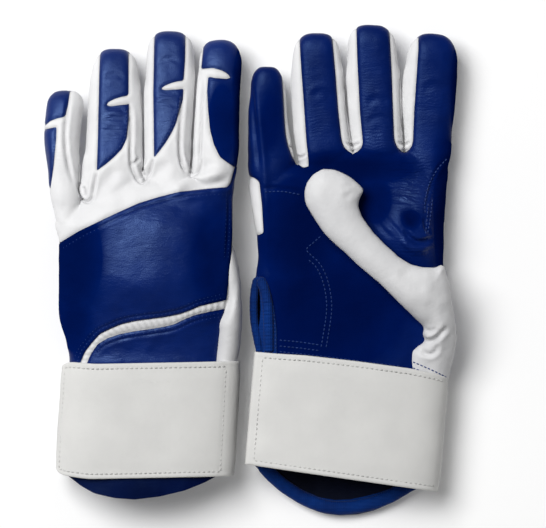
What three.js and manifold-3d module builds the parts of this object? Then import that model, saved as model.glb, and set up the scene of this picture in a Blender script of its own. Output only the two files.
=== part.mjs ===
// A pair of batting gloves laid side by side: the left glove back up, the right glove palm up.
// Millimetres, +Z up. Each glove is drawn as it lies back up, with +Y to the fingertips and +X to the thumb,
// as one sewn shell that is then cut into its leather panels. The right glove is that drawing turned over.
import * as THREE from "three";
import { mergeVertices } from "three/addons/utils/BufferGeometryUtils.js";
import Module from "manifold-3d";

const wasm = await Module();
wasm.setup();

// Leather, seams and clearances
const WALL = 1.6;
const SEAM = 0.3;
const PATCH = 1.0;
const STRAP = 2.2;
const REST_TRIM = 0.4;

// Sections: half heights towards the back and the palm, and how square the soft sections are
const HAND_RISE = 12.5;
const HAND_DROP = 11.5;
const FINGER_RISE = 8.6;
const FINGER_DROP = 8.2;
const THUMB_HALF_HEIGHT = 6.8;
const THUMB_HALF_WIDTH = 13;
const THUMB_STUB = 10;
const HAND_SQUARENESS = 2.6;
const CUFF_SQUARENESS = 3.2;
const FINGER_SQUARENESS = 2.5;
const HAND_SIDES = 18;
const FINGER_SIDES = 12;

// Wrist: the line where the strap starts, the strap's length up the arm, and its hook-and-loop patches
const WRIST_Y = 31;
const STRAP_LENGTH = 59;
const FLAP_CUT = 6;
const PATCH_WIDTH = 26;
const PATCH_LENGTH = 42;
const PATCH_INSET = 8;

// Wrist slit on the little-finger side, which runs up the hand from under the strap
const SLIT_FOOT_Y = 38;
const SLIT_LENGTH = 34;
const SLIT_HALF_WIDTH = 4.5;
const BINDING_WIDTH = 3;

// Back of the hand: the S-shaped stripe
const STRIPE_WIDTH = 4.2;

// Fingers, shared by both hands. Distances run from the fingertip down the finger.
// notch is the white flex notch, and opens names the side that it opens to.
const FINGERS = {
  little: { halfWidth: 9.6, notch: 16, notchWidth: 4.4, backLeft: -14, backRight: 2.2, skirt: 47, opens: 1, blunt: 9 },
  ring: { halfWidth: 12.3, notch: 27, notchWidth: 4.2, backLeft: -7, backRight: 7, skirt: 58, opens: 1, blunt: 9 },
  middle: { halfWidth: 12.2, notch: 28, notchWidth: 4.2, backLeft: -7.8, backRight: 7.2, skirt: 60, opens: 1, blunt: 9 },
  index: { halfWidth: 11.4, notch: 17, notchWidth: 4.4, backLeft: -6, backRight: 16, skirt: 58, opens: -1, blunt: 10 },
};
const FRONT_HALF_WIDTH = 8.8;
const ROOT_BAND = 4;
const TUBE_OVERLAP = 12;
const WEB_SETBACK = 1;

// Swelling of the palm between the thumb and the index finger
const WEB_HALF_WIDTH = 19;
const WEB_HALF_LENGTH = 24;
const WEB_SWELL = 5.5;

// How each glove lies. Edges are the hand's two outlines at each height up the hand.
const LEFT = {
  name: "left",
  place: [-53.5, -77.1],
  turn: 0,
  cuffHalfWidth: 42,
  lip: 10.5,
  cuffHalfHeight: 13,
  rise: { palm: 10, roots: 6, tips: -6 },
  heights: [45, 60, 78, 95, 112, 136],
  littleEdge: [-43.5, -45, -45, -45.5, -49.5, -51.5],
  thumbEdge: [47.5, 48, 46, 43.5, 44, 46.5],
  roots: { little: [-41.3, 114.5], ring: [-18.3, 121], middle: [9.8, 126], index: [34.3, 127] },
  tips: { little: [-41, 169.1], ring: [-15.5, 190.7], middle: [12.3, 199.9], index: [37.3, 195.3] },
  thumbHinge: [36, 60],
  thumbTip: [-22, 111],
};
const RIGHT = {
  name: "right",
  place: [50.9, -77.6],
  turn: -6.4,
  cuffHalfWidth: 45.5,
  lip: 19.5,
  cuffHalfHeight: 11.5,
  rise: { palm: 0, roots: 1, tips: -2 },
  heights: [45, 60, 76, 92, 119, 148],
  littleEdge: [-49, -50.5, -48.3, -48.3, -51, -52.5],
  thumbEdge: [54, 53.5, 50, 47.8, 48.8, 51.5],
  roots: { little: [-40.1, 131], ring: [-12.3, 135.5], middle: [14.6, 138.3], index: [39.8, 138.3] },
  tips: { little: [-40.6, 182], ring: [-18.2, 199.4], middle: [11.3, 203.5], index: [42.1, 198.9] },
  thumbHinge: [42.9, 61.7],
  thumbTip: [-21.4, 125.6],
};

const FAR = 120;
const FINEST = 2e-3;
const UP = new THREE.Vector3(0, 0, 1);

const BLUE = { color: 0x16307a, roughness: 0.42, metalness: 0 };
const DEEP_BLUE = { color: 0x11235c, roughness: 0.8, metalness: 0 };
const WHITE = { color: 0xe9e9e6, roughness: 0.55, metalness: 0 };
const TRIM = { color: 0x1d4fa0, roughness: 0.85, metalness: 0 };
const FASTENER = { color: 0x22262e, roughness: 0.95, metalness: 0 };

// A closed three.js geometry as a manifold solid
function solidOf(geometry) {
  const bare = geometry.clone();
  bare.deleteAttribute("normal");
  bare.deleteAttribute("uv");
  const merged = mergeVertices(bare, 1e-4);
  return new wasm.Manifold(
    new wasm.Mesh({
      numProp: 3,
      vertProperties: new Float32Array(merged.attributes.position.array),
      triVerts: new Uint32Array(merged.index.array),
    }),
  );
}

// A manifold solid as a three.js geometry, with points closer than FINEST joined into one
function geometryOf(solid) {
  const mesh = solid.getMesh();
  const raw = new THREE.BufferGeometry();
  raw.setAttribute("position", new THREE.BufferAttribute(new Float32Array(mesh.vertProperties), 3));
  raw.setIndex(new THREE.BufferAttribute(new Uint32Array(mesh.triVerts), 1));
  const geometry = mergeVertices(raw, FINEST);
  const faces = Array.from({ length: geometry.index.count / 3 }, (_, i) => [0, 1, 2].map((k) => geometry.index.getX(3 * i + k)));
  geometry.setIndex(faces.filter(([a, b, c]) => a !== b && b !== c && c !== a).flat());
  return geometry;
}

// A closed tube through rings that all run the same way round their heading
function loft(rings) {
  const sides = rings[0].length;
  const positions = [];
  const faces = [];
  rings.flat().forEach((p) => positions.push(p.x, p.y, p.z));
  for (let j = 0; j + 1 < rings.length; j++) {
    for (let k = 0; k < sides; k++) {
      const a = j * sides + k;
      const b = j * sides + ((k + 1) % sides);
      faces.push(a, a + sides, b + sides, a, b + sides, b);
    }
  }
  const last = (rings.length - 1) * sides;
  for (let k = 1; k + 1 < sides; k++) {
    faces.push(0, k, k + 1);
    faces.push(last, last + k + 1, last + k);
  }
  const geometry = new THREE.BufferGeometry();
  geometry.setAttribute("position", new THREE.Float32BufferAttribute(positions, 3));
  geometry.setIndex(faces);
  return solidOf(geometry);
}

// The sideways direction, to the thumb's side, of a heading in the XY plane
function sidewaysOf(heading) {
  return new THREE.Vector3(heading.y, -heading.x, 0);
}

// One soft section, square to its heading: a superellipse with its own rise and drop
function softRing(centre, heading, halfWidth, rise, drop, squareness, sides) {
  const sideways = sidewaysOf(heading);
  return Array.from({ length: sides }, (_, k) => {
    const angle = (2 * Math.PI * k) / sides;
    const c = Math.cos(angle);
    const s = Math.sin(angle);
    const across = halfWidth * Math.sign(c) * Math.abs(c) ** (2 / squareness);
    const height = (s > 0 ? rise : drop) * Math.sign(s) * Math.abs(s) ** (2 / squareness);
    return centre.clone().addScaledVector(sideways, across).addScaledVector(UP, height);
  });
}

// A tall rectangle across a heading, from one height to another
function wallRing(centre, heading, low, high) {
  const sideways = sidewaysOf(heading);
  const corner = (across, height) =>
    centre.clone().addScaledVector(sideways, across).addScaledVector(UP, height);
  return [corner(FAR, high), corner(-FAR, high), corner(-FAR, low), corner(FAR, low)];
}

// A pattern piece: a flat outline cut straight down through everything
function prism(points) {
  const shape = new THREE.Shape(points.map(([x, y]) => new THREE.Vector2(x, y)));
  const geometry = new THREE.ExtrudeGeometry(shape, { depth: 2 * FAR, bevelEnabled: false });
  return solidOf(geometry.translate(0, 0, -FAR));
}

// Everything on one side of a line that runs from the little-finger side to the thumb side
function above(line) {
  return prism([...line, [line.at(-1)[0], 3 * FAR], [line[0][0], 3 * FAR]]);
}
function below(line) {
  return prism([...line.toReversed(), [line[0][0], -3 * FAR], [line.at(-1)[0], -3 * FAR]]);
}
// The same outline with every edge moved outwards by one amount; points run anticlockwise
function grown(points, amount) {
  const towards = (a, b) => new THREE.Vector2(b[0] - a[0], b[1] - a[1]).normalize();
  return points.map((point, i) => {
    const before = towards(points.at(i - 1), point);
    const after = towards(point, points[(i + 1) % points.length]);
    const share = amount / (1 + before.dot(after));
    return [point[0] + share * (before.y + after.y), point[1] - share * (before.x + after.x)];
  });
}
function shifted(line, dx, dy) {
  return line.map(([x, y]) => [x + dx, y + dy]);
}

// A smooth line through a few points, carried straight on past both ends
function smoothLine(points, steps) {
  const curve = new THREE.SplineCurve(points.map(([x, y]) => new THREE.Vector2(x, y)));
  const line = curve.getPoints(steps).map((p) => [p.x, p.y]);
  return [[-FAR, line[0][1]], ...line, [FAR, line.at(-1)[1]]];
}

function smoothstep(value, low, high) {
  const t = THREE.MathUtils.clamp((value - low) / (high - low), 0, 1);
  return t * t * (3 - 2 * t);
}

// Everything that one glove's panels are cut from, worked out from how the glove lies
class Glove {
  constructor(lie) {
    this.lie = lie;
    this.panels = [];
    this.hinges = [];
    this.wrist = new THREE.Vector3((lie.littleEdge[0] + lie.thumbEdge[0]) / 2, WRIST_Y, 0);
    const turn = THREE.MathUtils.degToRad(lie.turn);
    this.cuffHeading = new THREE.Vector3(-Math.sin(turn), Math.cos(turn), 0);
    this.fingerNames = Object.keys(FINGERS);
  }

  // Height of the glove's middle layer, which rises over the folded thumb and falls to the fingertips
  lay(y) {
    const { palm, roots, tips } = this.lie.rise;
    const rootY = this.lie.roots.middle[1];
    const tipY = this.lie.tips.middle[1];
    const overPalm = palm * smoothstep(y, WRIST_Y, this.lie.thumbHinge[1] + 15);
    const overRoots = (roots - palm) * smoothstep(y, this.lie.heights[3], rootY + 5);
    return overPalm + overRoots + (tips - roots) * smoothstep(y, rootY - 5, tipY + 20);
  }

  onCuff(along) {
    return this.wrist.clone().addScaledVector(this.cuffHeading, along);
  }

  cuffRing(along, grow, growDrop = grow) {
    const { cuffHalfWidth, cuffHalfHeight } = this.lie;
    return softRing(
      this.onCuff(along), this.cuffHeading, cuffHalfWidth + grow,
      cuffHalfHeight + grow, cuffHalfHeight + growDrop, CUFF_SQUARENESS, HAND_SIDES,
    );
  }

  // The hand from the cuff's lip to past the finger roots, grown or shrunk by one amount
  handTube(grow) {
    const { heights, littleEdge, thumbEdge } = this.lie;
    const lowEnd = -STRAP_LENGTH - this.lie.lip - 2;
    const past = grow < 0 ? 5 : 0;
    const cuff = [lowEnd - past, -STRAP_LENGTH / 2, 0].map((along) => this.cuffRing(along, grow));
    const hand = heights.map((y, i) => {
      const shrink = 1 - 0.26 * smoothstep(y, heights[2], heights[5]);
      const centre = new THREE.Vector3((littleEdge[i] + thumbEdge[i]) / 2, y, this.lay(y));
      return softRing(
        centre, new THREE.Vector3(0, 1, 0), (thumbEdge[i] - littleEdge[i]) / 2 + grow,
        HAND_RISE * shrink + grow, HAND_DROP * shrink + grow, HAND_SQUARENESS, HAND_SIDES,
      );
    });
    return loft([...cuff, ...hand]);
  }

  fingerFrame(name) {
    const root = new THREE.Vector2(...this.lie.roots[name]);
    const tip = new THREE.Vector2(...this.lie.tips[name]);
    const heading = tip.clone().sub(root).normalize();
    return { root, tip, length: tip.distanceTo(root), heading: new THREE.Vector3(heading.x, heading.y, 0) };
  }

  // A point in the glove's plane from a place across and a distance down from the fingertip
  onFinger(name, across, down) {
    const { tip, heading } = this.fingerFrame(name);
    const sideways = sidewaysOf(heading);
    return [tip.x - heading.x * down + sideways.x * across, tip.y - heading.y * down + sideways.y * across];
  }

  fingerTube(name, grow) {
    const { length, heading } = this.fingerFrame(name);
    const { halfWidth, blunt } = FINGERS[name];
    const end = -grow;
    const rounding = [0.02, 0.2, 0.55, 1].map((share) => end + blunt * share);
    const downs = [length + TUBE_OVERLAP + 2 * grow, length * 0.7, ...rounding.toReversed()];
    const rings = downs.map((down) => {
      const [x, y] = this.onFinger(name, 0, down);
      const into = THREE.MathUtils.clamp((end + blunt - down) / blunt, 0, 1);
      const round = (1 - into ** 2.6) ** (1 / 2.6);
      const taper = 0.86 + 0.14 * smoothstep(down, blunt, length * 0.6);
      return softRing(
        new THREE.Vector3(x, y, this.lay(y)), heading, (halfWidth * taper + grow) * round,
        (FINGER_RISE * taper + grow) * round, (FINGER_DROP * taper + grow) * round, FINGER_SQUARENESS, FINGER_SIDES,
      );
    });
    return loft(rings);
  }

  // The space that belongs to a finger: everything past its root, as wide as the finger
  fingerSpace(name, grow) {
    const { length } = this.fingerFrame(name);
    const half = FINGERS[name].halfWidth + SEAM + grow;
    return this.fingerStrip(name, -half, half, -FAR / 4, length + grow);
  }

  fingerStrip(name, left, right, from, to) {
    return prism([
      this.onFinger(name, left, to), this.onFinger(name, right, to),
      this.onFinger(name, right, from), this.onFinger(name, left, from),
    ]);
  }

  // Back or palm half of the glove, parted along its middle layer
  half(sign, gap) {
    const ys = [-FAR, 0, WRIST_Y, ...this.lie.heights, this.lie.tips.little[1], this.lie.tips.middle[1] + 20];
    const rings = ys.map((y) => {
      const centre = new THREE.Vector3(0, y, this.lay(y));
      const heading = new THREE.Vector3(0, 1, 0);
      return sign > 0 ? wallRing(centre, heading, gap, FAR) : wallRing(centre, heading, -FAR, -gap);
    });
    return loft(rings);
  }

  add(name, solid, look, body = "hands") {
    this.panels.push({ name: `${this.lie.name}_${name}`, solid, look, body });
  }

  // The web line across the finger roots, set back so that each crotch lies below both its fingers
  webLine() {
    const roots = this.fingerNames.map((name) => this.lie.roots[name]);
    const crotches = roots.slice(1).map(([x, y], i) => [(x + roots[i][0]) / 2, Math.min(y, roots[i][1]) - WEB_SETBACK]);
    const ends = [roots[0][1], roots.at(-1)[1]].map((y) => y - WEB_SETBACK);
    return [[-FAR, ends[0]], ...crotches, [FAR, ends[1]]];
  }

  shapeShell() {
    const web = this.webLine();
    const tubes = (grow) => this.fingerNames.map((name) => this.fingerTube(name, grow));
    const outerHand = this.handTube(0).intersect(below(web));
    const innerHand = this.handTube(-WALL).intersect(below(shifted(web, 0, -WALL)));
    this.outerTubes = tubes(0);
    this.innerTubes = tubes(-WALL);
    this.outer = wasm.Manifold.union([outerHand, ...this.outerTubes]);
    this.inner = wasm.Manifold.union([innerHand, ...this.innerTubes]);
    this.back = this.half(1, SEAM / 2);
    this.front = this.half(-1, SEAM / 2);
    const spaces = wasm.Manifold.union(this.fingerNames.map((name) => this.fingerSpace(name, SEAM)));
    this.handShell = this.outer.subtract(this.inner).subtract(spaces);
  }

  // Each finger: blue front, two blue back panels with the white flex notch between them, and white sides
  cutFingers() {
    this.fingerNames.forEach((name, i) => {
      const finger = FINGERS[name];
      const { length, heading } = this.fingerFrame(name);
      const shell = this.outerTubes[i].subtract(this.innerTubes[i]).intersect(this.fingerSpace(name, 0));
      const edge = finger.halfWidth + 2;
      const outerSide = { little: -1, index: 1 }[name];
      const left = outerSide === -1 ? -edge : finger.backLeft;
      const right = outerSide === 1 ? edge : finger.backRight;
      const frontLeft = outerSide === -1 ? -edge : -FRONT_HALF_WIDTH;
      const frontRight = outerSide === 1 ? edge : FRONT_HALF_WIDTH;
      const open = finger.opens > 0 ? right : left;
      const shut = finger.opens > 0 ? left : right;
      const skirtEnd = Math.min(finger.skirt, length - ROOT_BAND);
      const notchTop = (side) => finger.notch - (finger.opens === side ? finger.notchWidth : SEAM);
      const panel = (corners) => {
        const outline = corners.map(([across, down]) => this.onFinger(name, across, down));
        const ordered = THREE.ShapeUtils.area(outline.map(([x, y]) => ({ x, y }))) > 0 ? outline : outline.toReversed();
        return (ease) => prism(grown(ordered, ease));
      };
      const tipPanel = panel([[left, -FAR / 8], [left, notchTop(-1)], [right, notchTop(1)], [right, -FAR / 8]]);
      const basePanel = panel([
        [open, finger.notch], [open, finger.notch + 12], [open * 0.6 + shut * 0.4, (finger.notch + skirtEnd) / 2 + 6],
        [shut, skirtEnd], [shut, finger.notch],
      ]);
      const frontPanel = panel([[frontLeft, -FAR / 8], [frontLeft, length], [frontRight, length], [frontRight, -FAR / 8]]);
      const backShell = shell.intersect(this.back);
      const frontShell = shell.intersect(this.front);
      const body = `${this.lie.name}_${name}`;
      const sides = shell
        .subtract(tipPanel(SEAM).intersect(this.half(1, -SEAM / 2)))
        .subtract(basePanel(SEAM).intersect(this.half(1, -SEAM / 2)))
        .subtract(frontPanel(SEAM).intersect(this.half(-1, -SEAM / 2)));
      this.add(`${name}_front`, frontShell.intersect(frontPanel(0)), BLUE, body);
      this.add(`${name}_back_tip`, backShell.intersect(tipPanel(0)), BLUE, body);
      this.add(`${name}_back_base`, backShell.intersect(basePanel(0)), BLUE, body);
      this.add(`${name}_sides`, sides, WHITE, body);
      const [x, y] = this.lie.roots[name];
      const palmSide = this.lay(y) - FINGER_DROP - SEAM;
      this.hinges.push({ name: `${body}_flex`, body, at: [x, y, palmSide], axis: sidewaysOf(heading).negate() });
    });
  }

  thumbFrame() {
    const hinge = new THREE.Vector2(...this.lie.thumbHinge);
    const tip = new THREE.Vector2(...this.lie.thumbTip);
    const heading = tip.clone().sub(hinge).normalize();
    return { hinge, tip, length: tip.distanceTo(hinge), heading: new THREE.Vector3(heading.x, heading.y, 0) };
  }

  // The thumb lies folded across the palm, and sinks into the hand at its root
  thumbTube(grow) {
    const { tip, length, heading } = this.thumbFrame();
    const end = -grow;
    const rootEnd = length + THUMB_STUB;
    const rounding = [0.02, 0.2, 0.55, 1].map((share) => end + THUMB_HALF_WIDTH * share);
    const rings = [rootEnd, length, length * 0.45, ...rounding.toReversed()].map((down) => {
      const into = THREE.MathUtils.clamp((end + THUMB_HALF_WIDTH - down) / THUMB_HALF_WIDTH, 0, 1);
      const narrow = 1 - 0.4 * smoothstep(down, length - 4, rootEnd);
      const round = (1 - into ** 2.3) ** (1 / 2.3);
      return softRing(
        this.onThumb(tip, heading, down), heading, (THUMB_HALF_WIDTH * narrow + grow) * round,
        (THUMB_HALF_HEIGHT + grow) * round, (THUMB_HALF_HEIGHT + grow) * round, FINGER_SQUARENESS, FINGER_SIDES,
      );
    });
    return loft(rings);
  }

  onThumb(tip, heading, down) {
    const x = tip.x - heading.x * down;
    const y = tip.y - heading.y * down;
    const { length } = this.thumbFrame();
    const sink = 5 * smoothstep(down, length * 0.45, length) + THUMB_STUB * smoothstep(down, length, length + THUMB_STUB);
    return new THREE.Vector3(x, y, this.lay(y) - HAND_DROP - 2 * SEAM - THUMB_HALF_HEIGHT + sink);
  }

  // Half of the thumb's space: sign 1 faces the palm
  thumbHalf(sign, gap) {
    const { tip, length, heading } = this.thumbFrame();
    const rings = [length + 20, length, length * 0.45, -20].map((down) => {
      const centre = this.onThumb(tip, heading, down);
      return sign > 0 ? wallRing(centre, heading, gap, FAR) : wallRing(centre, heading, -FAR, -gap);
    });
    return loft(rings);
  }

  // Everything past the thumb's hinge line, towards its tip
  thumbSpace(grow) {
    const { hinge, heading } = this.thumbFrame();
    const sideways = sidewaysOf(heading);
    const at = (across, along) => [
      hinge.x + sideways.x * across + heading.x * along,
      hinge.y + sideways.y * across + heading.y * along,
    ];
    return prism([at(-FAR / 3, -grow), at(FAR / 3, -grow), at(FAR / 3, FAR), at(-FAR / 3, FAR)]);
  }

  cutThumb() {
    const outer = this.thumbTube(0);
    const inner = this.thumbTube(-WALL);
    const shell = outer.subtract(inner);
    const handWithGap = this.handTube(SEAM);
    const space = this.thumbSpace(0);
    const free = shell.intersect(space).subtract(handWithGap);
    const body = `${this.lie.name}_thumb`;
    this.add("thumb_back", free.intersect(this.thumbHalf(-1, SEAM / 2)), WHITE, body);
    this.add("thumb_front", free.intersect(this.thumbHalf(1, SEAM / 2)), BLUE, body);
    this.thumbStub = outer.subtract(this.thumbSpace(SEAM));
    this.thumbInner = inner;
    this.thumbClear = this.thumbTube(2 * SEAM);
    const { hinge, heading, tip, length } = this.thumbFrame();
    const outerSide = this.onThumb(tip, heading, length).z - THUMB_HALF_HEIGHT - SEAM;
    this.hinges.push({ name: `${body}_lift`, body, at: [hinge.x, hinge.y, outerSide], axis: sidewaysOf(heading).negate() });
  }

  // The line at which a panel of the hand meets the strap, turned with the cuff
  cuffRegion(from, to, halfWidth = FAR) {
    const sideways = sidewaysOf(this.cuffHeading);
    const at = (across, along) => {
      const p = this.onCuff(along).addScaledVector(sideways, across);
      return [p.x, p.y];
    };
    return prism([at(-halfWidth, from), at(halfWidth, from), at(halfWidth, to), at(-halfWidth, to)]);
  }

  slitPrism(length, halfWidth) {
    const outline = Array.from({ length: 14 }, (_, i) => {
      const angle = (2 * Math.PI * i) / 14;
      const y = SLIT_FOOT_Y + length * Math.cos(angle);
      return new THREE.Vector2(y, this.lay(y) + halfWidth * Math.sin(angle));
    });
    const geometry = new THREE.ExtrudeGeometry(new THREE.Shape(outline), { depth: FAR, bevelEnabled: false });
    const toSide = new THREE.Matrix4().makeBasis(
      new THREE.Vector3(0, 1, 0), new THREE.Vector3(0, 0, 1), new THREE.Vector3(1, 0, 0),
    );
    return solidOf(geometry.applyMatrix4(toSide).translate(this.lie.littleEdge[1] + 14 - FAR, 0, 0));
  }

  // The full blue leather between the thumb and the index finger, a low swelling on the palm
  thumbWeb() {
    const { thumbEdge, roots, thumbHinge } = this.lie;
    const x = thumbEdge[3] - WEB_HALF_WIDTH;
    const y = (thumbHinge[1] + roots.index[1]) / 2;
    const geometry = new THREE.SphereGeometry(1, 12, 6).rotateX(Math.PI / 2);
    geometry.scale(WEB_HALF_WIDTH, WEB_HALF_LENGTH, 2 * WEB_SWELL);
    return solidOf(geometry.translate(x, y, this.lay(y) - HAND_DROP + WEB_SWELL));
  }

  // Back of the hand, palm and the white thumb root
  cutHand() {
    const { lie } = this;
    const gap = SEAM / 2;
    const shell = this.handShell.subtract(this.cuffRegion(-FAR, SEAM));
    const slit = this.slitPrism(SLIT_LENGTH, SLIT_HALF_WIDTH);
    const bound = this.slitPrism(SLIT_LENGTH + BINDING_WIDTH, SLIT_HALF_WIDTH + BINDING_WIDTH);
    const boundClear = this.slitPrism(SLIT_LENGTH + BINDING_WIDTH + SEAM, SLIT_HALF_WIDTH + BINDING_WIDTH + SEAM);
    const panelShell = shell.subtract(boundClear);
    const left = lie.littleEdge[3];
    const right = lie.thumbEdge[3];
    const webY = lie.roots.little[1];
    const knuckleEdge = smoothLine(
      [[left - 4, webY - 26], [left + 20, webY - 12], [(left + right) / 2, webY - 2], [right + 4, webY + 4]], 6,
    );
    const stripeTop = smoothLine(
      [[left + 2, WRIST_Y - 6], [left + 14, WRIST_Y + 2], [left + 26, WRIST_Y + 19], [left + 44, WRIST_Y + 24],
        [left + 64, WRIST_Y + 27], [right, WRIST_Y + 32]], 9,
    );
    const stripeFoot = shifted(stripeTop, 2, -STRIPE_WIDTH);
    const rootLine = [[right + 1.5, webY - 22], [right - 1.5, WRIST_Y + 32], [right - 4, WRIST_Y + 14], [right - 8, WRIST_Y - 20]];
    const thumbSide = (ease) => prism([
      ...rootLine.map(([x, y]) => [x - ease, y + ease]), [FAR, WRIST_Y - 20], [FAR, webY - 22 + ease],
    ]);
    const middle = this.half(1, -SEAM).intersect(this.half(-1, -SEAM));
    const body = panelShell.intersect(this.back).subtract(thumbSide(gap));
    const wrap = [[-FAR, webY - 22], [left + 4, webY - 22], [left + 2, webY - 2], [-FAR, webY - 2]];
    const knuckleSide = above(shifted(knuckleEdge, 0, gap)).subtract(thumbSide(gap));
    const knuckles = wasm.Manifold.union([
      knuckleSide.intersect(this.back), prism(wrap).intersect(this.front), prism(wrap).intersect(knuckleSide).intersect(middle),
    ]);
    this.add("knuckle_panel", panelShell.intersect(knuckles), WHITE);
    this.add("back_panel", body.intersect(below(shifted(knuckleEdge, 0, -gap))).intersect(above(shifted(stripeTop, 0, gap))), BLUE);
    this.add("back_stripe", body.intersect(below(shifted(stripeTop, 0, -gap))).intersect(above(shifted(stripeFoot, 0, gap))), WHITE);
    this.add("wrist_panel", body.intersect(below(shifted(stripeFoot, 0, -gap))), BLUE);
    this.add("vent_binding", shell.intersect(bound).subtract(slit), TRIM);

    const palmLine = [[right + 6, webY - 20], [right - 3, WRIST_Y + 30], [right - 13, WRIST_Y + 8], [right - 17, WRIST_Y - 20]];
    const palmThumb = (ease) => prism([
      ...palmLine.map(([x, y]) => [x - ease, y + ease]), [FAR, WRIST_Y - 20], [FAR, webY - 20 + ease],
    ]);
    const palm = panelShell.intersect(this.front).subtract(palmThumb(gap)).subtract(prism(grown(wrap, SEAM)));
    const web = this.thumbWeb().intersect(this.front).subtract(palmThumb(gap)).subtract(this.handTube(-WALL / 2));
    this.add("palm", palm.add(web).subtract(this.thumbClear), BLUE);
    const root = wasm.Manifold.union([
      thumbSide(-gap).intersect(this.back), palmThumb(-gap).intersect(this.front),
      thumbSide(-gap).intersect(palmThumb(-gap)).intersect(middle),
    ]);
    const stub = this.thumbStub.intersect(palmThumb(-gap));
    const filled = this.outer.intersect(root).subtract(this.cuffRegion(-FAR, SEAM)).add(stub);
    this.add("thumb_base", filled.subtract(this.inner).subtract(this.thumbInner), WHITE);
  }

  // Cuff, wrist strap and its hook-and-loop patches
  cutWrist() {
    const { lie } = this;
    const lipDepth = STRAP_LENGTH + lie.lip;
    const sideways = sidewaysOf(this.cuffHeading);
    const lip = Array.from({ length: 11 }, (_, i) => {
      const angle = Math.PI * (1 + i / 10);
      const across = lie.cuffHalfWidth * 1.02 * Math.cos(angle);
      const along = -STRAP_LENGTH + lie.lip * Math.sin(angle);
      const p = this.onCuff(along).addScaledVector(sideways, across);
      return [p.x, p.y];
    });
    const topRight = this.onCuff(0).addScaledVector(sideways, FAR);
    const topLeft = this.onCuff(0).addScaledVector(sideways, -FAR);
    const sideRight = this.onCuff(-STRAP_LENGTH).addScaledVector(sideways, FAR);
    const sideLeft = this.onCuff(-STRAP_LENGTH).addScaledVector(sideways, -FAR);
    const lipOutline = prism([
      [sideLeft.x, sideLeft.y], ...lip, [sideRight.x, sideRight.y], [topRight.x, topRight.y], [topLeft.x, topLeft.y],
    ]);
    const cuffShell = this.handTube(0).subtract(this.handTube(-WALL)).intersect(this.cuffRegion(-lipDepth - 1, 0));
    const longBack = cuffShell.intersect(lipOutline).intersect(this.half(1, 0));
    const shortFront = cuffShell.intersect(this.cuffRegion(-STRAP_LENGTH + SEAM, 0)).intersect(this.half(-1, -SEAM));
    this.add("cuff", longBack.add(shortFront), DEEP_BLUE);

    const layer = (growBack, growFront, from, to) =>
      loft([this.cuffRing(from, growBack, growFront), this.cuffRing(to, growBack, growFront)]);
    const patchAt = -lie.cuffHalfWidth + PATCH_INSET;
    const patchArea = (inset) => {
      const near = this.onCuff(-STRAP_LENGTH / 2 - PATCH_LENGTH / 2 + inset);
      const far = this.onCuff(-STRAP_LENGTH / 2 + PATCH_LENGTH / 2 - inset);
      const at = (p, across) => [p.x + sideways.x * across, p.y + sideways.y * across];
      return prism([
        at(near, patchAt + inset), at(near, patchAt + PATCH_WIDTH - inset),
        at(far, patchAt + PATCH_WIDTH - inset), at(far, patchAt + inset),
      ]);
    };
    const loopIn = SEAM;
    const loopOut = loopIn + PATCH;
    const hookIn = loopOut + SEAM;
    const hookOut = hookIn + PATCH;
    const strapIn = hookOut + SEAM;
    const strapOut = strapIn + STRAP;
    const patch = (from, to, inset) =>
      layer(SEAM, to, -STRAP_LENGTH, 0).subtract(layer(SEAM, from, -STRAP_LENGTH - 1, 1))
        .intersect(this.half(-1, FLAP_CUT + 1)).intersect(patchArea(inset));
    this.add("loop_patch", patch(loopIn, loopOut, 0), FASTENER);
    this.add("hook_patch", patch(hookIn, hookOut, 1), FASTENER, `${lie.name}_flap`);

    const loop = layer(SEAM + STRAP, strapOut, -STRAP_LENGTH, 0).subtract(layer(SEAM, strapIn, -STRAP_LENGTH - 1, 1));
    const backFlat = lie.cuffHalfHeight + SEAM + STRAP - REST_TRIM;
    const frontFlat = lie.cuffHalfHeight + strapOut - REST_TRIM;
    const slab = (low, high) => loft([
      wallRing(this.onCuff(-FAR), this.cuffHeading, low, high), wallRing(this.onCuff(FAR), this.cuffHeading, low, high),
    ]);
    this.add("strap_band", loop.intersect(slab(-FLAP_CUT + SEAM / 2, backFlat)), WHITE);
    this.add("strap_flap", loop.intersect(slab(-frontFlat, -FLAP_CUT - SEAM / 2)), WHITE, `${lie.name}_flap`);
    const share = (FLAP_CUT / (lie.cuffHalfHeight + strapOut)) ** CUFF_SQUARENESS;
    const edge = (lie.cuffHalfWidth + strapOut) * (1 - share) ** (1 / CUFF_SQUARENESS);
    const at = this.onCuff(-STRAP_LENGTH / 2).addScaledVector(sideways, edge);
    this.hinges.push({
      name: `${lie.name}_strap_open`, body: `${lie.name}_flap`,
      at: [at.x, at.y, -FLAP_CUT - SEAM / 2], axis: this.cuffHeading.clone().negate(),
    });
  }

  build() {
    this.shapeShell();
    this.cutFingers();
    this.cutThumb();
    this.cutHand();
    this.cutWrist();
    return this;
  }
}

// One glove as a group of named panels, set down on z = 0
function layDown(lie, turnedOver) {
  const glove = new Glove(lie).build();
  const flip = new THREE.Matrix4().makeScale(1, 1, turnedOver ? -1 : 1);
  const group = new THREE.Group();
  glove.panels.forEach(({ name, solid, look, body }) => {
    const flipped = turnedOver ? solid.mirror([0, 0, 1]) : solid;
    const mesh = new THREE.Mesh(geometryOf(flipped), new THREE.MeshStandardMaterial(look));
    mesh.name = name;
    mesh.userData.body = body;
    group.add(mesh);
  });
  const low = new THREE.Box3().setFromObject(group).min.z;
  group.position.set(lie.place[0], lie.place[1], -low);
  const hinges = glove.hinges.map(({ name, body, at, axis }) => {
    const point = new THREE.Vector3(...at).applyMatrix4(flip).add(group.position);
    return { name, body, at: point, axis: axis.clone().multiplyScalar(turnedOver ? -1 : 1) };
  });
  return { group, hinges };
}

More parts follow.
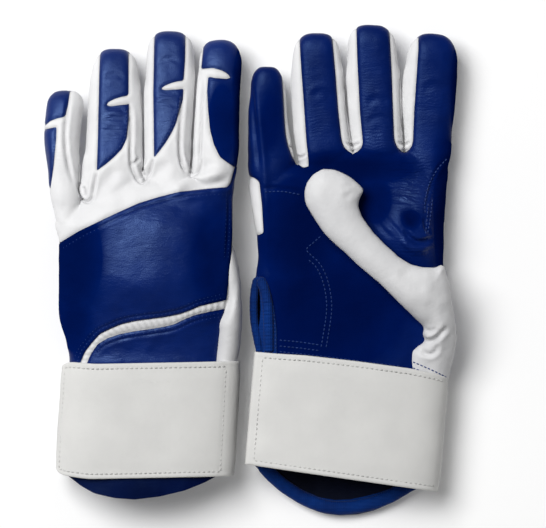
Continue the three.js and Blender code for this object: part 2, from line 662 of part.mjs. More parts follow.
const pair = new THREE.Group();
const gloves = [layDown(LEFT, false), layDown(RIGHT, true)];
gloves.forEach(({ group }) => pair.add(group));
const bounds = new THREE.Box3().setFromObject(pair);
const centre = bounds.getCenter(new THREE.Vector3()).setZ(0);
gloves.forEach(({ group }) => group.position.sub(centre));
pair.userData.hinges = gloves.flatMap(({ hinges }) => hinges).map((hinge) => ({ ...hinge, at: hinge.at.clone().sub(centre) }));

export default pair;
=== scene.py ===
"""Sewn leather look of a pair of batting gloves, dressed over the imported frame."""

import logging
import math
from dataclasses import dataclass, field, replace
from enum import Enum
from typing import Any, Callable, Sequence

import bmesh
import bpy
import numpy as np
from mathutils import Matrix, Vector, noise
from mathutils.bvhtree import BVHTree
from mathutils.kdtree import KDTree


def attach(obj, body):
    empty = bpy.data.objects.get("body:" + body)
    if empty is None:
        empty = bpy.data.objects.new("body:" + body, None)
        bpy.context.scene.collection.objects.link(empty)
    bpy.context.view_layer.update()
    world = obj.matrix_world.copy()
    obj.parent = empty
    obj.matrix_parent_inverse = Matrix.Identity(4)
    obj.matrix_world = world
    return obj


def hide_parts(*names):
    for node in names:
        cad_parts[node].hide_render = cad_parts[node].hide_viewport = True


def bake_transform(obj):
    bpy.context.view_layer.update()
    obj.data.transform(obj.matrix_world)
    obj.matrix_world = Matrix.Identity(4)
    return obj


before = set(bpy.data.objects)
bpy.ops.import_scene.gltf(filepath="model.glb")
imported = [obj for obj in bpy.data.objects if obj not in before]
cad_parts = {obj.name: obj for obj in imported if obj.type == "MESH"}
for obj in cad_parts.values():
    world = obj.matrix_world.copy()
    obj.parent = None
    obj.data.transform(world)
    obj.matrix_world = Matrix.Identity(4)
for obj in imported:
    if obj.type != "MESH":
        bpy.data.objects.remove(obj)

LOG = logging.getLogger("gloves")
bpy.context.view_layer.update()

MM = 0.001
PIXEL = 0.514 * MM
PHOTO_ORIGIN = (252.9, 269.4)
PHOTO_SIZE = (546, 528)
PHOTO_CENTRE = (273.0, 264.0)
VOXEL = 0.9 * MM
LEATHER = 1.1 * MM
TINY = 1e-12
# Depth and width in mm of the gathers across a sewn strip.
GATHER_DEPTH, GATHER_WIDTH = 0.52, 0.95

Pixel = tuple[float, float]
Pixels = Sequence[Pixel]
Move = Callable[[float, float], Pixel]
Patch = tuple[float, float, float, float, float]
Colour = tuple[float, float, float]
Solid = tuple[np.ndarray, list[list[int]]]
Zone = tuple[tuple[float, ...], tuple[float, ...]]
Socket = bpy.types.NodeSocket
Inputs = dict[str | int, Any]
Piece = bpy.types.Object
Array = np.ndarray


class Face(Enum):
    """Which face of a flat-lying glove a panel is on."""

    TOP = "top"
    BOTTOM = "bottom"
    BOTH = "both"


class Weave(Enum):
    """The fine structure of a material."""

    GRAIN = "grain"
    KNIT = "knit"
    PILE = "pile"
    CLOTH = "cloth"
    TWIST = "twist"


# Plane geometry


def place(points: Pixels) -> Array:
    """Photo pixels as plane points in metres, an n by 2 array."""
    p = np.asarray(points, float).reshape(-1, 2)
    return np.column_stack([(p[:, 0] - PHOTO_ORIGIN[0]) * PIXEL, (PHOTO_ORIGIN[1] - p[:, 1]) * PIXEL])


def smoothstep(value: Array | float, low: float, high: float) -> Array:
    """Zero below low, one above high, smooth between."""
    t = np.clip((np.asarray(value, float) - low) / (high - low), 0, 1)
    return t * t * (3 - 2 * t)


def unit(vectors: Array) -> Array:
    """Vectors along the last axis, scaled to length one."""
    return vectors / np.maximum(np.linalg.norm(vectors, axis=-1, keepdims=True), TINY)


def circle(count: int) -> Array:
    """Even angles once round."""
    return np.linspace(0, 2 * np.pi, count, endpoint=False)


def run_of(line: Array) -> Array:
    """The length of a line up to each of its points."""
    return np.concatenate([[0], np.cumsum(np.linalg.norm(np.diff(line, axis=0), axis=1))])


def sampled(line: Array, run: Array, at: Array) -> Array:
    """All columns of a line at distances along its run."""
    return np.column_stack([np.interp(at, run, column) for column in line.T])


def flowing(points: Array, count: int) -> Array:
    """A smooth line through points, sampled evenly in its first two columns.

    Args:
        points: n by d array of points on the line.
        count: number of samples.
    Returns:
        count by d array.
    """
    p = np.asarray(points, float)
    padded = np.vstack([2 * p[0] - p[1], p, 2 * p[-1] - p[-2]])
    t = np.linspace(0, 1, 12, endpoint=False)[:, None]
    fine = []
    for i in range(len(p) - 1):
        a, b, c, d = padded[i:i + 4]
        fine.append(0.5 * (2 * b + (c - a) * t + (2 * a - 5 * b + 4 * c - d) * t**2
                           + (3 * b - a - 3 * c + d) * t**3))
    line = np.vstack(fine + [p[-1:]])
    run = run_of(line[:, :2])
    return sampled(line, run, np.linspace(0, run[-1], count))


def softened(outline: Array, longest: float = 2.5 * MM) -> Array:
    """A closed outline with its corners eased as leather edges are.

    Args:
        outline: n by 2 array.
        longest: longest step before the easing.
    Returns:
        m by 2 array.
    """
    dense = []
    for a, b in zip(outline, np.roll(outline, -1, axis=0)):
        parts = max(1, int(np.ceil(np.linalg.norm(b - a) / longest)))
        dense.extend(a + (b - a) * k / parts for k in range(parts))
    p = np.array(dense)
    for _ in range(2):
        after = np.roll(p, -1, axis=0)
        p = np.stack([0.75 * p + 0.25 * after, 0.25 * p + 0.75 * after], axis=1).reshape(-1, 2)
    return p[::2]


def inside(points: Array, outline: Array) -> Array:
    """Which plane points lie inside a closed outline.

    Args:
        points: n by 2 array.
        outline: m by 2 array.
    Returns:
        n truth values.
    """
    hit = np.zeros(len(points), bool)
    low, high = outline.min(axis=0), outline.max(axis=0)
    near = np.nonzero(np.all((points > low) & (points < high), axis=1))[0]
    x, y = points[near, 0], points[near, 1]
    odd = np.zeros(len(near), bool)
    for a, b in zip(outline, np.roll(outline, -1, axis=0)):
        if a[1] == b[1]:
            continue
        crosses = (a[1] > y) != (b[1] > y)
        odd ^= crosses & (x < (b[0] - a[0]) * (y - a[1]) / (b[1] - a[1]) + a[0])
    hit[near] = odd
    return hit


def distance(points: Array, line: Array, closed: bool = False) -> tuple[Array, Array]:
    """Distance to a line and where along it the nearest place is.

    Args:
        points: n by 2 array.
        line: m by 2 array.
        closed: whether the line's end joins its start.
    Returns:
        The distances, and the share of the line's run from 0 to 1.
    """
    loop = np.vstack([line, line[:1]]) if closed else line
    steps = np.diff(loop, axis=0)
    lengths = np.linalg.norm(steps, axis=1)
    run = run_of(loop)
    best = np.full(len(points), np.inf)
    share = np.zeros(len(points))
    for k, (a, ab) in enumerate(zip(loop, steps)):
        t = np.clip(((points - a) @ ab) / max(ab @ ab, 1e-18), 0, 1)
        d = np.linalg.norm(points - a - t[:, None] * ab, axis=1)
        better = d < best
        best[better] = d[better]
        share[better] = (run[k] + t[better] * lengths[k]) / run[-1]
    return best, share


# Plans from the photograph


@dataclass(frozen=True)
class Lie:
    """How a glove lies: where its middle layer is, as the solids have it, in mm."""

    origin_y: float
    base: float
    back_up: bool
    palm: float
    roots: float
    tips: float
    palm_from: tuple[float, float]
    roots_from: tuple[float, float]
    tips_from: tuple[float, float]

    def middle(self, y: Array) -> Array:
        """Height of the middle layer over the floor at plane y, both in metres.

        Args:
            y: plane y.
        Returns:
            The height.
        """
        along = np.asarray(y, float) / MM - self.origin_y
        rise = (self.palm * smoothstep(along, *self.palm_from)
                + (self.roots - self.palm) * smoothstep(along, *self.roots_from)
                + (self.tips - self.roots) * smoothstep(along, *self.tips_from))
        return (self.base + (rise if self.back_up else -rise)) * MM


@dataclass(frozen=True)
class FingerPlan:
    """One finger: rows of (row, left edge, right edge), tip first, and the panels that show."""

    name: str
    tip: float
    hinge: float
    edges: tuple[tuple[float, float, float], ...]
    blunt: float
    panels: tuple[tuple[str, Pixels], ...] = ()

    def span(self, rows: Array) -> tuple[Array, Array]:
        """Left and right edges at photo rows."""
        line = flowing(np.array(self.edges), 80)
        return np.interp(rows, line[:, 0], line[:, 1]), np.interp(rows, line[:, 0], line[:, 2])

    def strip(self, half: float, top: float, foot: float) -> Pixels:
        """The outline of a strip down the finger, some share of its half width to either side.

        Args:
            half: share of the half width.
            top: first photo row.
            foot: last photo row.
        Returns:
            Pixels of the outline.
        """
        rows = np.linspace(top, foot, 14)
        low, high = self.span(np.maximum(rows, self.tip + 8))
        middle, reach = (low + high) / 2, (high - low) / 2
        left, right = (list(zip(middle + share * reach, rows)) for share in (-half, half))
        return left + right[::-1]


@dataclass(frozen=True)
class Panel:
    """A sewn panel: the outline it is cut along and the face it is on."""

    label: str
    outline: Pixels
    face: Face


@dataclass(frozen=True)
class Crease:
    """A fold pressed into the leather along pixels, in mm; negative depth raises a ridge."""

    line: Pixels
    depth: float
    width: float
    fades: bool = True


@dataclass(frozen=True)
class ThumbPlan:
    """The folded thumb: its outline, and (column, row, height, half height in mm) from tip to wrist."""

    outline: Pixels
    spine: tuple[tuple[float, float, float, float], ...]
    heading: tuple[float, float]
    edge: float = 10.0
    side_white: Pixels = ()
    creases: tuple[Crease, ...] = ()
    rows: tuple[Pixels, ...] = ()


@dataclass(frozen=True)
class StrapPlan:
    """The wrist strap: middle pixel, turn in degrees, then widths, heights and places in mm."""

    centre: Pixel
    turn: float
    half_width: float
    band_height: float
    flap_height: float
    length: float
    free_end: float
    little_width: float
    stitch_from: float
    stitch_to: float
    shear: float
    end_lift: tuple[float, float] = (0.0, 0.0)
    bow: tuple[tuple[float, float], ...] = ((-60.0, 0.0), (60.0, 0.0))
    corners: tuple[float, float] = (0.0, 0.0)


@dataclass(frozen=True)
class GlovePlan:
    """Everything measured for one glove, in pixels, with heights and depths in mm."""

    side: str
    lie: Lie
    hand: tuple[Patch, ...]
    fingers: tuple[FingerPlan, ...]
    finger_up: float
    finger_down: float
    panels: tuple[Panel, ...]
    thumb: ThumbPlan
    strap: StrapPlan
    creases: tuple[Crease, ...] = ()
    rows: tuple[tuple[str, Pixels], ...] = ()
    gaps: tuple[tuple[Pixels, float], ...] = ()
    web: tuple[Patch, ...] = ()
    finer: tuple[tuple[float, float, float, float], ...] = ()
    hem: Pixels = ()
    rolls: tuple[tuple[str, Pixels, float], ...] = ()
    crinkles: tuple[Patch, ...] = ()
    # Patches where the leather is painted darker and less glossy: painted shade.
    worn: tuple[Patch, ...] = ()


def carried(points: Pixels, move: Move) -> Pixels:
    """Pixels moved by a rule."""
    return tuple(move(x, y) for x, y in points)


def beside(line: Pixels, gap: float) -> Pixels:
    """A line moved sideways by some pixels, to its right as it runs.

    Args:
        line: pixels along it.
        gap: how many pixels.
    Returns:
        The moved pixels.
    """
    p = np.array(line, float)
    ahead = unit(np.gradient(p, axis=0))
    return tuple(map(tuple, p + gap * np.column_stack([-ahead[:, 1], ahead[:, 0]])))


def plot(text: str) -> tuple[tuple[float, ...], ...]:
    """Rows of numbers, written with commas inside a row and blanks between rows."""
    return tuple(tuple(map(float, row.split(","))) for row in text.split())


def creased(*rows: tuple[float, float, str]) -> tuple[Crease, ...]:
    """Creases from rows of depth, width and the pixels along each."""
    return tuple(Crease(plot(line), depth, width) for depth, width, line in rows)


def gathers(top: Pixels, foot: Pixels, count: int) -> tuple[Crease, ...]:
    """Short gathers across a narrow strip that is sewn along both edges."""
    ends = zip(flowing(np.array(top), count)[1:-1], flowing(np.array(foot), count)[1:-1])
    return tuple(Crease((tuple(a), tuple(b)), GATHER_DEPTH, GATHER_WIDTH, False) for a, b in ends)


def on_hand(*lines: Pixels) -> tuple[tuple[str, Pixels], ...]:
    """Stitch rows that lie on the hand, not on a finger."""
    return tuple(("hands", line) for line in lines)


BACK_TOP = plot("40,252 60,243 80,231 100,221.5 120,212 140,203 160,197 180,192 205,189 228,187.3 "
                "231.5,183 233.5,175 235.5,167 248,165")
STRIPE_TOP = plot("226,300 213,303 200,306 190,310.5 180,314 165,317 150,319 135,321 122,324 110,329 "
                  "100,334 92,343 85,352 79,366")
STRIPE_FOOT = plot("86,366 91,354 98,344 108,338 120,334 135,331 150,329 165,326.5 175,324 185,319 "
                   "195,315 210,311.5 225,309")
BACK_SIDE = plot("248,190 248,238 233.5,242 231,258 228.8,280 226.8,300")
BACK_EDGE = plot("228.6,194 228,215 227.2,240 226,262")
WRIST_SIDE = plot("225,309 222,330 219,348 216,368")


def back_panels(face: Face, move: Move) -> tuple[Panel, ...]:
    """The sewn panels of the back of the hand, on the face that the back is on.

    Args:
        face: that face.
        move: from the left glove's pixels to this glove's.
    Returns:
        The panels, later ones over earlier ones.
    """
    lines = (BACK_TOP, STRIPE_TOP, STRIPE_FOOT, BACK_SIDE, WRIST_SIDE)
    top, stripe_top, stripe_foot, side, wrist = (carried(line, move) for line in lines)
    corner = carried(plot("20,366 20,252"), move)
    beyond = carried(plot("262,368 262,240"), move)
    return (
        Panel("back_panel", top + side + stripe_top + corner, face),
        Panel("back_stripe", stripe_top + stripe_foot, face),
        Panel("wrist_panel", stripe_foot + wrist, face),
        Panel("thumb_seat", side[2:] + wrist + beyond, face),
    )


THUMB_FREE = plot("410,314 378.5,283.5 346.6,255 324,234 315,221 305,204 303.6,192 306,183 312,175 "
                  "322,169 334,169.5 344,173.5 352,178.5 360,186 364,190.5 359.5,198 358.3,206 362,216 "
                  "373.8,232.5 385,245")
# The thumb's root on each glove, and how much smaller and more turned the left one shows.
RIGHT_THUMB_ROOT, LEFT_THUMB_ROOT = (433.5, 301), (217, 303.3)
THUMB_SCALE, THUMB_TURN = 0.85, 0.052


def to_left_thumb(x: float, y: float) -> Pixel:
    """A pixel of the right glove's folded thumb, where the left glove has it.

    Args:
        x: column.
        y: row.
    Returns:
        Column and row.
    """
    across, down = x - RIGHT_THUMB_ROOT[0], y - RIGHT_THUMB_ROOT[1]
    return (LEFT_THUMB_ROOT[0] + THUMB_SCALE * across + THUMB_TURN * down,
            LEFT_THUMB_ROOT[1] - THUMB_TURN * across + THUMB_SCALE * down)


LEFT_CREASES = (
    *gathers(STRIPE_TOP[::-1], STRIPE_FOOT, 27),
    *creased(
        (1.2, 1.1, "69,99 67,117 65.5,135 67,155 70,170 74,186"),
        (-0.4, 2.2, "62,128 61,150 63,172"),
        (1.2, 1.1, "131,106 131.5,130 131,150 131.5,165 133,176"),
        (1.1, 1.1, "97,171 95,184 93,196"),
        (1.1, 1.1, "153,158 151,169 148,178"),
        (1.2, 1.1, "183,92 181.5,115 180,140 181,160 184,172"),
        (1.2, 1.1, "203.5,78 202,95 201,120 200,145 199,160 196,172"),
        (1.0, 0.9, "78.6,180 79.6,190 82.5,198 87.5,202.5 92.2,199 94.2,190"),
        (-0.9, 1.6, "82,178 83,190 86,196.5 89,197.5 91.5,192 92,180"),
        (0.9, 0.8, "84.5,186 86,196"),
        (1.0, 0.9, "132.5,163 134,172 137.5,179.5 142,183 146.5,179 149.5,170 152,160"),
        (-0.8, 1.5, "135.5,162 137,172 140,178 144,178 147,170 149,160"),
        (0.8, 0.9, "130.5,166 135.5,162.5 140,157"),
        (1.0, 0.9, "181,156 182.8,166 186,173"),
        (0.7, 0.9, "194,177.5 198,174 200.5,168 202,158"),
        (-0.8, 1.5, "184.3,156 185.5,166 189,172.5 193.5,172.5 197,168 198,157"),
        (-1.7, 4.6, "229,171 218,174.5 200,181 165,192"),
        (1.9, 2.6, "229,181 205,185 180,190.5"),
        (0.9, 3.2, "214,160 206,170 198,178"),
        (0.8, 3.2, "168,160 160,172 152,180"),
        (0.9, 3.4, "118,166 108,180 98,194"),
        (0.9, 4.6, "56,200 80,216 104,212"),
        (-0.9, 4.0, "62,224 88,219 124,202"),
        (0.8, 7.0, "206,212 216,250 214,290"),
        (0.8, 7.0, "74,292 84,318 78,348"),
        (-0.4, 5.0, "66,270 70,295 66,320"),
        (-1.7, 20.0, "172,206 160,256 138,308"),
        (-0.28, 2.0, "152.5,334 151.5,342 147,352"),
        (-0.22, 1.8, "167.5,332 167,343"),
        (-0.2, 2.4, "131,338 128,349"),
        (0.4, 1.6, "104,110 116,108 126,112"),
        (0.3, 1.3, "102,121 114,118 127,122"),
        (0.25, 1.2, "101,133 112,130 124,134"),
        (0.35, 1.5, "157,95 168,93 181,96"),
        (0.25, 1.2, "156,105 166,103 178,107"),
        (0.3, 1.6, "104,78 115,75 126,79"),
        (0.3, 1.6, "158,62 170,59 182,63"),
    ),
    Crease(beside(BACK_TOP[1:10], 5.0), 0.6, 0.8),
    Crease(beside(STRIPE_TOP, 5.0), 0.5, 0.8),
    Crease(beside(STRIPE_FOOT, 5.0), 0.5, 0.8),
    Crease(BACK_EDGE, 0.5, 0.8),
)
LEFT_ROWS = (
    *on_hand(
        beside(BACK_TOP[1:10], 6.6),
        beside(STRIPE_TOP, 3.2),
        beside(STRIPE_TOP, 6.8),
        beside(STRIPE_FOOT, 3.2),
        beside(STRIPE_FOOT, 6.6),
        beside(BACK_EDGE, 2.2),
        beside(BACK_EDGE, -1.6),
    ),
    ("ring", plot("126.5,110 127,125 125,138 120,147 113,154.5 105,161.5")),
    ("middle", plot("180.5,96 178,110 174.5,122 169.5,133 163.5,142.5 157,150.5")),
)
RIGHT_CREASES = (
    *creased(
        (-0.75, 1.8, "256,78 258,100 261,130 264,160 266,195 267,235 265,278"),
        (0.7, 1.4, "251.5,82 253.5,110 256.5,140 260,172"),
        (1.4, 13.0, "298,280 330,318 384,344"),
        (2.2, 19.0, "310,190 316,250 322,325"),
        (1.3, 6.0, "300,176 345,170 400,170"),
    ),
    Crease(plot("409.5,216 413,221"), 1.8, 3.4, False),
    *creased(
        (1.5, 1.6, "403,230 410,239 420,242.5 433,239.5"),
        (-0.8, 2.2, "402,238 412,248.5 428,251"),
        (0.6, 1.0, "424,217 425.5,228 431,235"),
        (0.5, 0.8, "450,158 441,163.5 434.5,174 429,190 425.5,205 424,217"),
        (0.3, 1.0, "384,172 402,172 420,178"),
        (0.32, 1.0, "380,179 402,179.5 421,186"),
        (0.34, 1.0, "382,186 404,187 420,193"),
        (0.36, 1.0, "386,193 404,194.5 419,200"),
        (0.34, 1.0, "390,200 404,202 416,207"),
        (0.3, 1.0, "400,164 418,167 432,172"),
        (0.45, 1.1, "372,210 381,227 394,240"),
        (0.45, 1.1, "379,204 388,222 401,233"),
        (0.4, 1.0, "386,214 394,226 404,240 416,250"),
        (0.7, 0.8, "262,188 280,187.5 295,189.5 306,192"),
        (0.7, 0.8, "353,145 353.4,152"),
        (0.7, 0.8, "404,144 404.4,151"),
        (0.6, 0.8, "345,142.5 353,145 361,142.5"),
        (0.6, 0.8, "397,141.5 404,144 411,141.5"),
        (0.6, 0.8, "293,152 300,157 307,154"),
        (-0.6, 1.2, "347,147 353,149.5 359,147"),
        (-0.6, 1.2, "399,146.5 404,148.6 410,146.5"),
        (0.35, 2.0, "365,104 378,99 390,103"),
        (0.35, 1.8, "366,122 380,117 392,122"),
        (0.3, 2.0, "310,96 322,92 334,96"),
        (0.35, 2.2, "422,90 436,85 450,90"),
    ),
)
PATCH_EDGE = plot("321,236 313,243 306.5,249.5 312,256 320,264 327,278 331,296 331.5,312 329,330 326,348")
RIGHT_ROWS = on_hand(
    plot("264,192 282,191.5 302,195"),
    PATCH_EDGE,
    beside(PATCH_EDGE[3:], 5.0),
    plot("279,340 300,342 320,345"),
    plot("279,346 300,348 322,351"),
    plot("279,351.5 320,356 360,361 402,366.5"),
    plot("266.5,286 271,299 274,315 275.2,335 275.5,350"),
    plot("447,158.5 437,170 428.5,185 424.6,202 424.8,213"),
    plot("432,199 430.6,212 428.8,225 427,234"),
    plot("428,203 427,215 426,226 425,234"),
)
THUMB_CREASES = creased(
    (1.5, 1.5, "448,326 441,333 434,339 426,342.5"),
    (1.1, 1.3, "437,343 435.5,351 429,354.5 420,351"),
    (0.7, 1.3, "424,329 430,331.5 437,329"),
    (-0.7, 1.6, "425,336 432,334.5 438,330"),
    (-0.6, 1.8, "416,349 424,347 431,347"),
    (0.5, 3.0, "453,328 449,342 446,356"),
    (0.45, 1.8, "362,190 351,193 343,200"),
    (0.3, 1.6, "354,184 342,190"),
    (-0.25, 2.4, "340,175 346,186 352,190"),
    (0.7, 4.0, "400,268 410,280 428,288"),
    (0.8, 4.0, "440,266 436,285 444,302"),
    (0.5, 3.5, "425,300 436,312 448,312"),
)

LEFT_FINGERS = (
    FingerPlan("little", tip=91, hinge=197.2, edges=plot(
            "91,47,84 105,46.5,83.7 115,45.7,82 125,45,81 140,45,80 155,46.5,79.2 170,48,78.5 190,50,78 "
            "205,52.5,78 235,58,81"), blunt=10, panels=(
        ("back_tip", plot("40,84 71,84 70,92 68.5,105 66,117 57,118.6 50,121.3 45.5,125 40,128")),
        ("back_base", plot("40,130.5 46,129.2 51,128.2 57,127.2 56.5,140 55.5,150 54,165 50,190 40,192")),
    )),
    FingerPlan("ring", tip=49, hinge=184.6, edges=plot(
            "49,95,134 60,94,137 75,91,139 90,89.5,140 105,88.4,140.5 120,87.6,140.5 140,86,140.5 "
            "160,84.6,140.5 180,83.8,140.5 200,83.4,141 225,84,142"), blunt=11, panels=(
        ("back_tip", plot("99.5,42 129,42 129,95.6 121,97.2 114,99.4 109,102 107,104.6 107,114 98.5,114")),
        ("back_base", plot("98.5,105 107,104.6 109,106.6 114,106.2 121,105.2 129.6,104.2 129.8,120 "
                           "127.5,138 122.5,149 115,157 107,164 97,171 98,140")),
    )),
    FingerPlan("middle", tip=31.5, hinge=174.9, edges=plot(
            "31.5,149,191 45,148,193 60,146.5,194.5 75,145.5,194.5 90,145,193.5 105,145.5,192.5 "
            "120,146,191 140,146.5,190 155,147,189.5 180,147,189 220,148,189"), blunt=11, panels=(
        ("back_tip", plot("154,24 186,24 185.5,60 184,80.6 176,81.8 169,84 163.5,86.6 161.5,88.6 "
                          "161.5,98 153,98")),
        ("back_base", plot("153,89 161.5,88.6 163.5,90.4 168,90.2 176,89.6 184,88.8 183,100 180,112 "
                           "177,122 172,133 166,143 160,151 154,158 153.5,120")),
    )),
    FingerPlan("index", tip=40, hinge=172.9, edges=plot(
            "40,199,240 52,199.5,241 62,199,241.5 80,198.5,240.5 100,197.3,240 130,195.5,239 "
            "150,194.5,238.5 168,193.7,236.6 185,193,234 220,193,230"), blunt=12.5, panels=(
        ("back_tip", plot("204,32 255,32 255,88 230.5,88 230.5,77 228,74 222,70.6 213,68 200.5,69")),
        ("back_base", plot("255,78.6 230.5,77.6 227.5,79 215,78 208,76.6 207,90 208,110 210,130 214,145 "
                           "220,157 228,163 236,168 255,171")),
    )),
)

RIGHT_FINGERS = (
    FingerPlan("little", tip=67, hinge=166.1, edges=plot(
            "67,251,283 80,250.5,284 90,250,285 100,249.5,286 120,248.5,287.5 140,248,290.5 "
            "155,248,293.5 170,248,296 205,252,299"), blunt=12.5, panels=(
        ("front", plot("235,55 281,55 283,80 284.3,100 285.3,120 286.5,135 289,146 293,157 297.5,163.5 "
                       "303,167 303,172 235,172")),
    )),
    FingerPlan("ring", tip=33, hinge=157.4, edges=plot(
            "33,296,337 45,294,339 60,292.5,341 80,291.5,342.8 100,292,344 120,293,346 140,295.5,349 "
            "160,299,352 195,303,352"), blunt=11, panels=(
        ("sides", plot("289,146 293,157 297.5,163.5 303,167 308.3,166.2 310,150")),
        ("front", plot("299,24 334,24 333,40 336,75 338.6,110 341.6,137 342.6,142 344.6,147 348.4,151 "
                       "353,152.8 355,166 308.4,166.5 308,160 307,150 306,140 304,110 301,70 299,40")),
    )),
    FingerPlan("middle", tip=25, hinge=151.9, edges=plot(
            "25,350,393 36,349,395 50,348,397 75,347.8,399 100,349,399.8 120,351,400.3 140,353.8,401.3 "
            "155,356,402 190,357,402"), blunt=11, panels=(
        ("front", plot("356,16 390,16 390,30 392,70 393,100 394.6,137 395.6,142 397.4,146.5 400.4,150 "
                       "404.3,151.6 405.5,160 352.5,160 353,152.8 358,151 361.4,147 362.5,142 362,137 "
                       "359.5,110 357,60 356,30")),
    )),
    FingerPlan("index", tip=34, hinge=151.9, edges=plot(
            "34,411,455 45,408.5,457 60,406,458 80,404.5,457.5 100,404.3,455.5 115,405,454 130,406,452 "
            "145,407,451 160,408,449.5 190,408,446"), blunt=13.5, panels=(
        ("front", plot("418,24 480,24 480,160 403.5,160 404.3,151.6 408.4,150 411.4,146 412.5,141 "
                       "412.8,137 414,110 416,80 418,50")),
    )),
)

LEFT_PLAN = GlovePlan(
    side="left",
    lie=Lie(origin_y=-77.41, base=17.7, back_up=True, palm=10, roots=6, tips=-6,
            palm_from=(31, 75), roots_from=(95, 131), tips_from=(121, 220)),
    hand=plot("520,69,221,11.5,12 480,66,228,12.6,12.6 440,65,230,12.8,12.8 400,66,230,12.8,12.8 "
              "362,70,225,12.8,12.6 345,68,226.5,12.6,12.2 318,61.5,228.5,12.5,11.8 "
              "290,60,230,12.5,11.5 265,60,231,12.3,11.3 243,60,231.2,12,11 225,56,231,11.4,10.4 "
              "214,61,231.3,11,10 208,74,231.6,10.6,9.7 203,83,232,10.3,9.4 195,86,232.8,9.8,9 "
              "187,90,234.2,8.8,8.2 181,100,235,6.5,6"),
    fingers=LEFT_FINGERS,
    finger_up=8.6,
    finger_down=8.2,
    panels=back_panels(Face.TOP, lambda x, y: (x, y)) + (
        Panel("thumb_seat", plot("236,250 226,300 214,368 262,368 262,250"), Face.BOTTOM),
        Panel("vent_binding", plot("55,300 70,292 80,300 84,330 84,368 40,368 40,300"),
              Face.BOTTOM),
        Panel("cuff", plot("20,366 270,366 270,560 20,560"), Face.BOTH),
        Panel("void", plot("20,468 58,470 70,477 82,486 95,493 115,497.5 135,499 160,496 185,490 "
                           "205,482 222,473 270,466 270,560 20,560"), Face.TOP),
        Panel("void", plot("20,470 270,468 270,560 20,560"), Face.BOTTOM),
    ),
    thumb=ThumbPlan(
        outline=carried(THUMB_FREE, to_left_thumb) + plot(
                "222,262 229,236 235.5,251 239.5,270 241.5,290 242.5,312 242,332 240,350 236,368 "
                "230,392 208,392 211,372 215.5,345 217,330 204,318"),
        spine=plot("104,204,8.6,6.4 150,245,8.8,6.8 190,282,9.6,7.6 214,303,11.6,8.4 237,276,26.0,8.4 "
                   "234,310,25.0,9.0 230,338,22.0,9.2 224,358,19.0,9.2 217,378,17.7,8.6 214,396,17.7,7.0"),
        heading=(-0.753, 0.66),
        edge=6.5,
        side_white=plot("205,300 216,262 222,228 270,228 270,400 180,400 186,330"),
    ),
    strap=StrapPlan(
        centre=(148.2, 420.0), turn=1.1, half_width=44.8, band_height=14.2, flap_height=16.4, length=59.0,
        free_end=-41.5, little_width=44.8, stitch_from=-43.6, stitch_to=38.4, shear=2.2,
        end_lift=(2.2, 1.4), corners=(3.4, -2.4),
    ),
    creases=LEFT_CREASES,
    rows=LEFT_ROWS,
    gaps=(
        (plot("82.8,150 81.8,165 81,180 80.7,204"), 0.9),
        (plot("142.6,78 142.9,95 143.2,110 143.6,150 143.9,182"), 1.0),
        (plot("196.5,66 196,80 195.2,95 194.2,115 192.3,140 191.5,170"), 0.85),
    ),
    web=plot("160,232,-6.5,30,34 188,254,-4.0,24,28"),
    finer=plot("72,160,100,210 126,146,158,190 176,142,208,184"),
    hem=plot("60,460 72,469 84,477 97,484 116,488.5 135,490 160,487 184,481 203,473.5 219,465"),
    crinkles=plot("116,125,16,28,0.35 168,112,14,34,0.3 160,222,26,12,0.15 60,150,8,26,0.3 "
                  "224,120,12,30,0.2"),
    # Painted shade patches, darker and less glossy, along the back panel's side edges and on the index
    # finger.
    worn=plot("70,258,34,60,1.0 76,322,20,40,0.6 216,262,30,60,0.6 222,122,16,44,0.7 240,112,8,66,1.0"),
)

# A place on the back of each glove that lies over the other's, and how much larger the right one shows.
LEFT_BACK, RIGHT_BACK = (147, 420), (349, 421)
BACK_SCALE = (1.06, 1.1)


def to_right(x: float, y: float) -> Pixel:
    """A pixel of the left glove's back, where the right glove has it."""
    return (RIGHT_BACK[0] + (x - LEFT_BACK[0]) * BACK_SCALE[0],
            RIGHT_BACK[1] + (y - LEFT_BACK[1]) * BACK_SCALE[1])


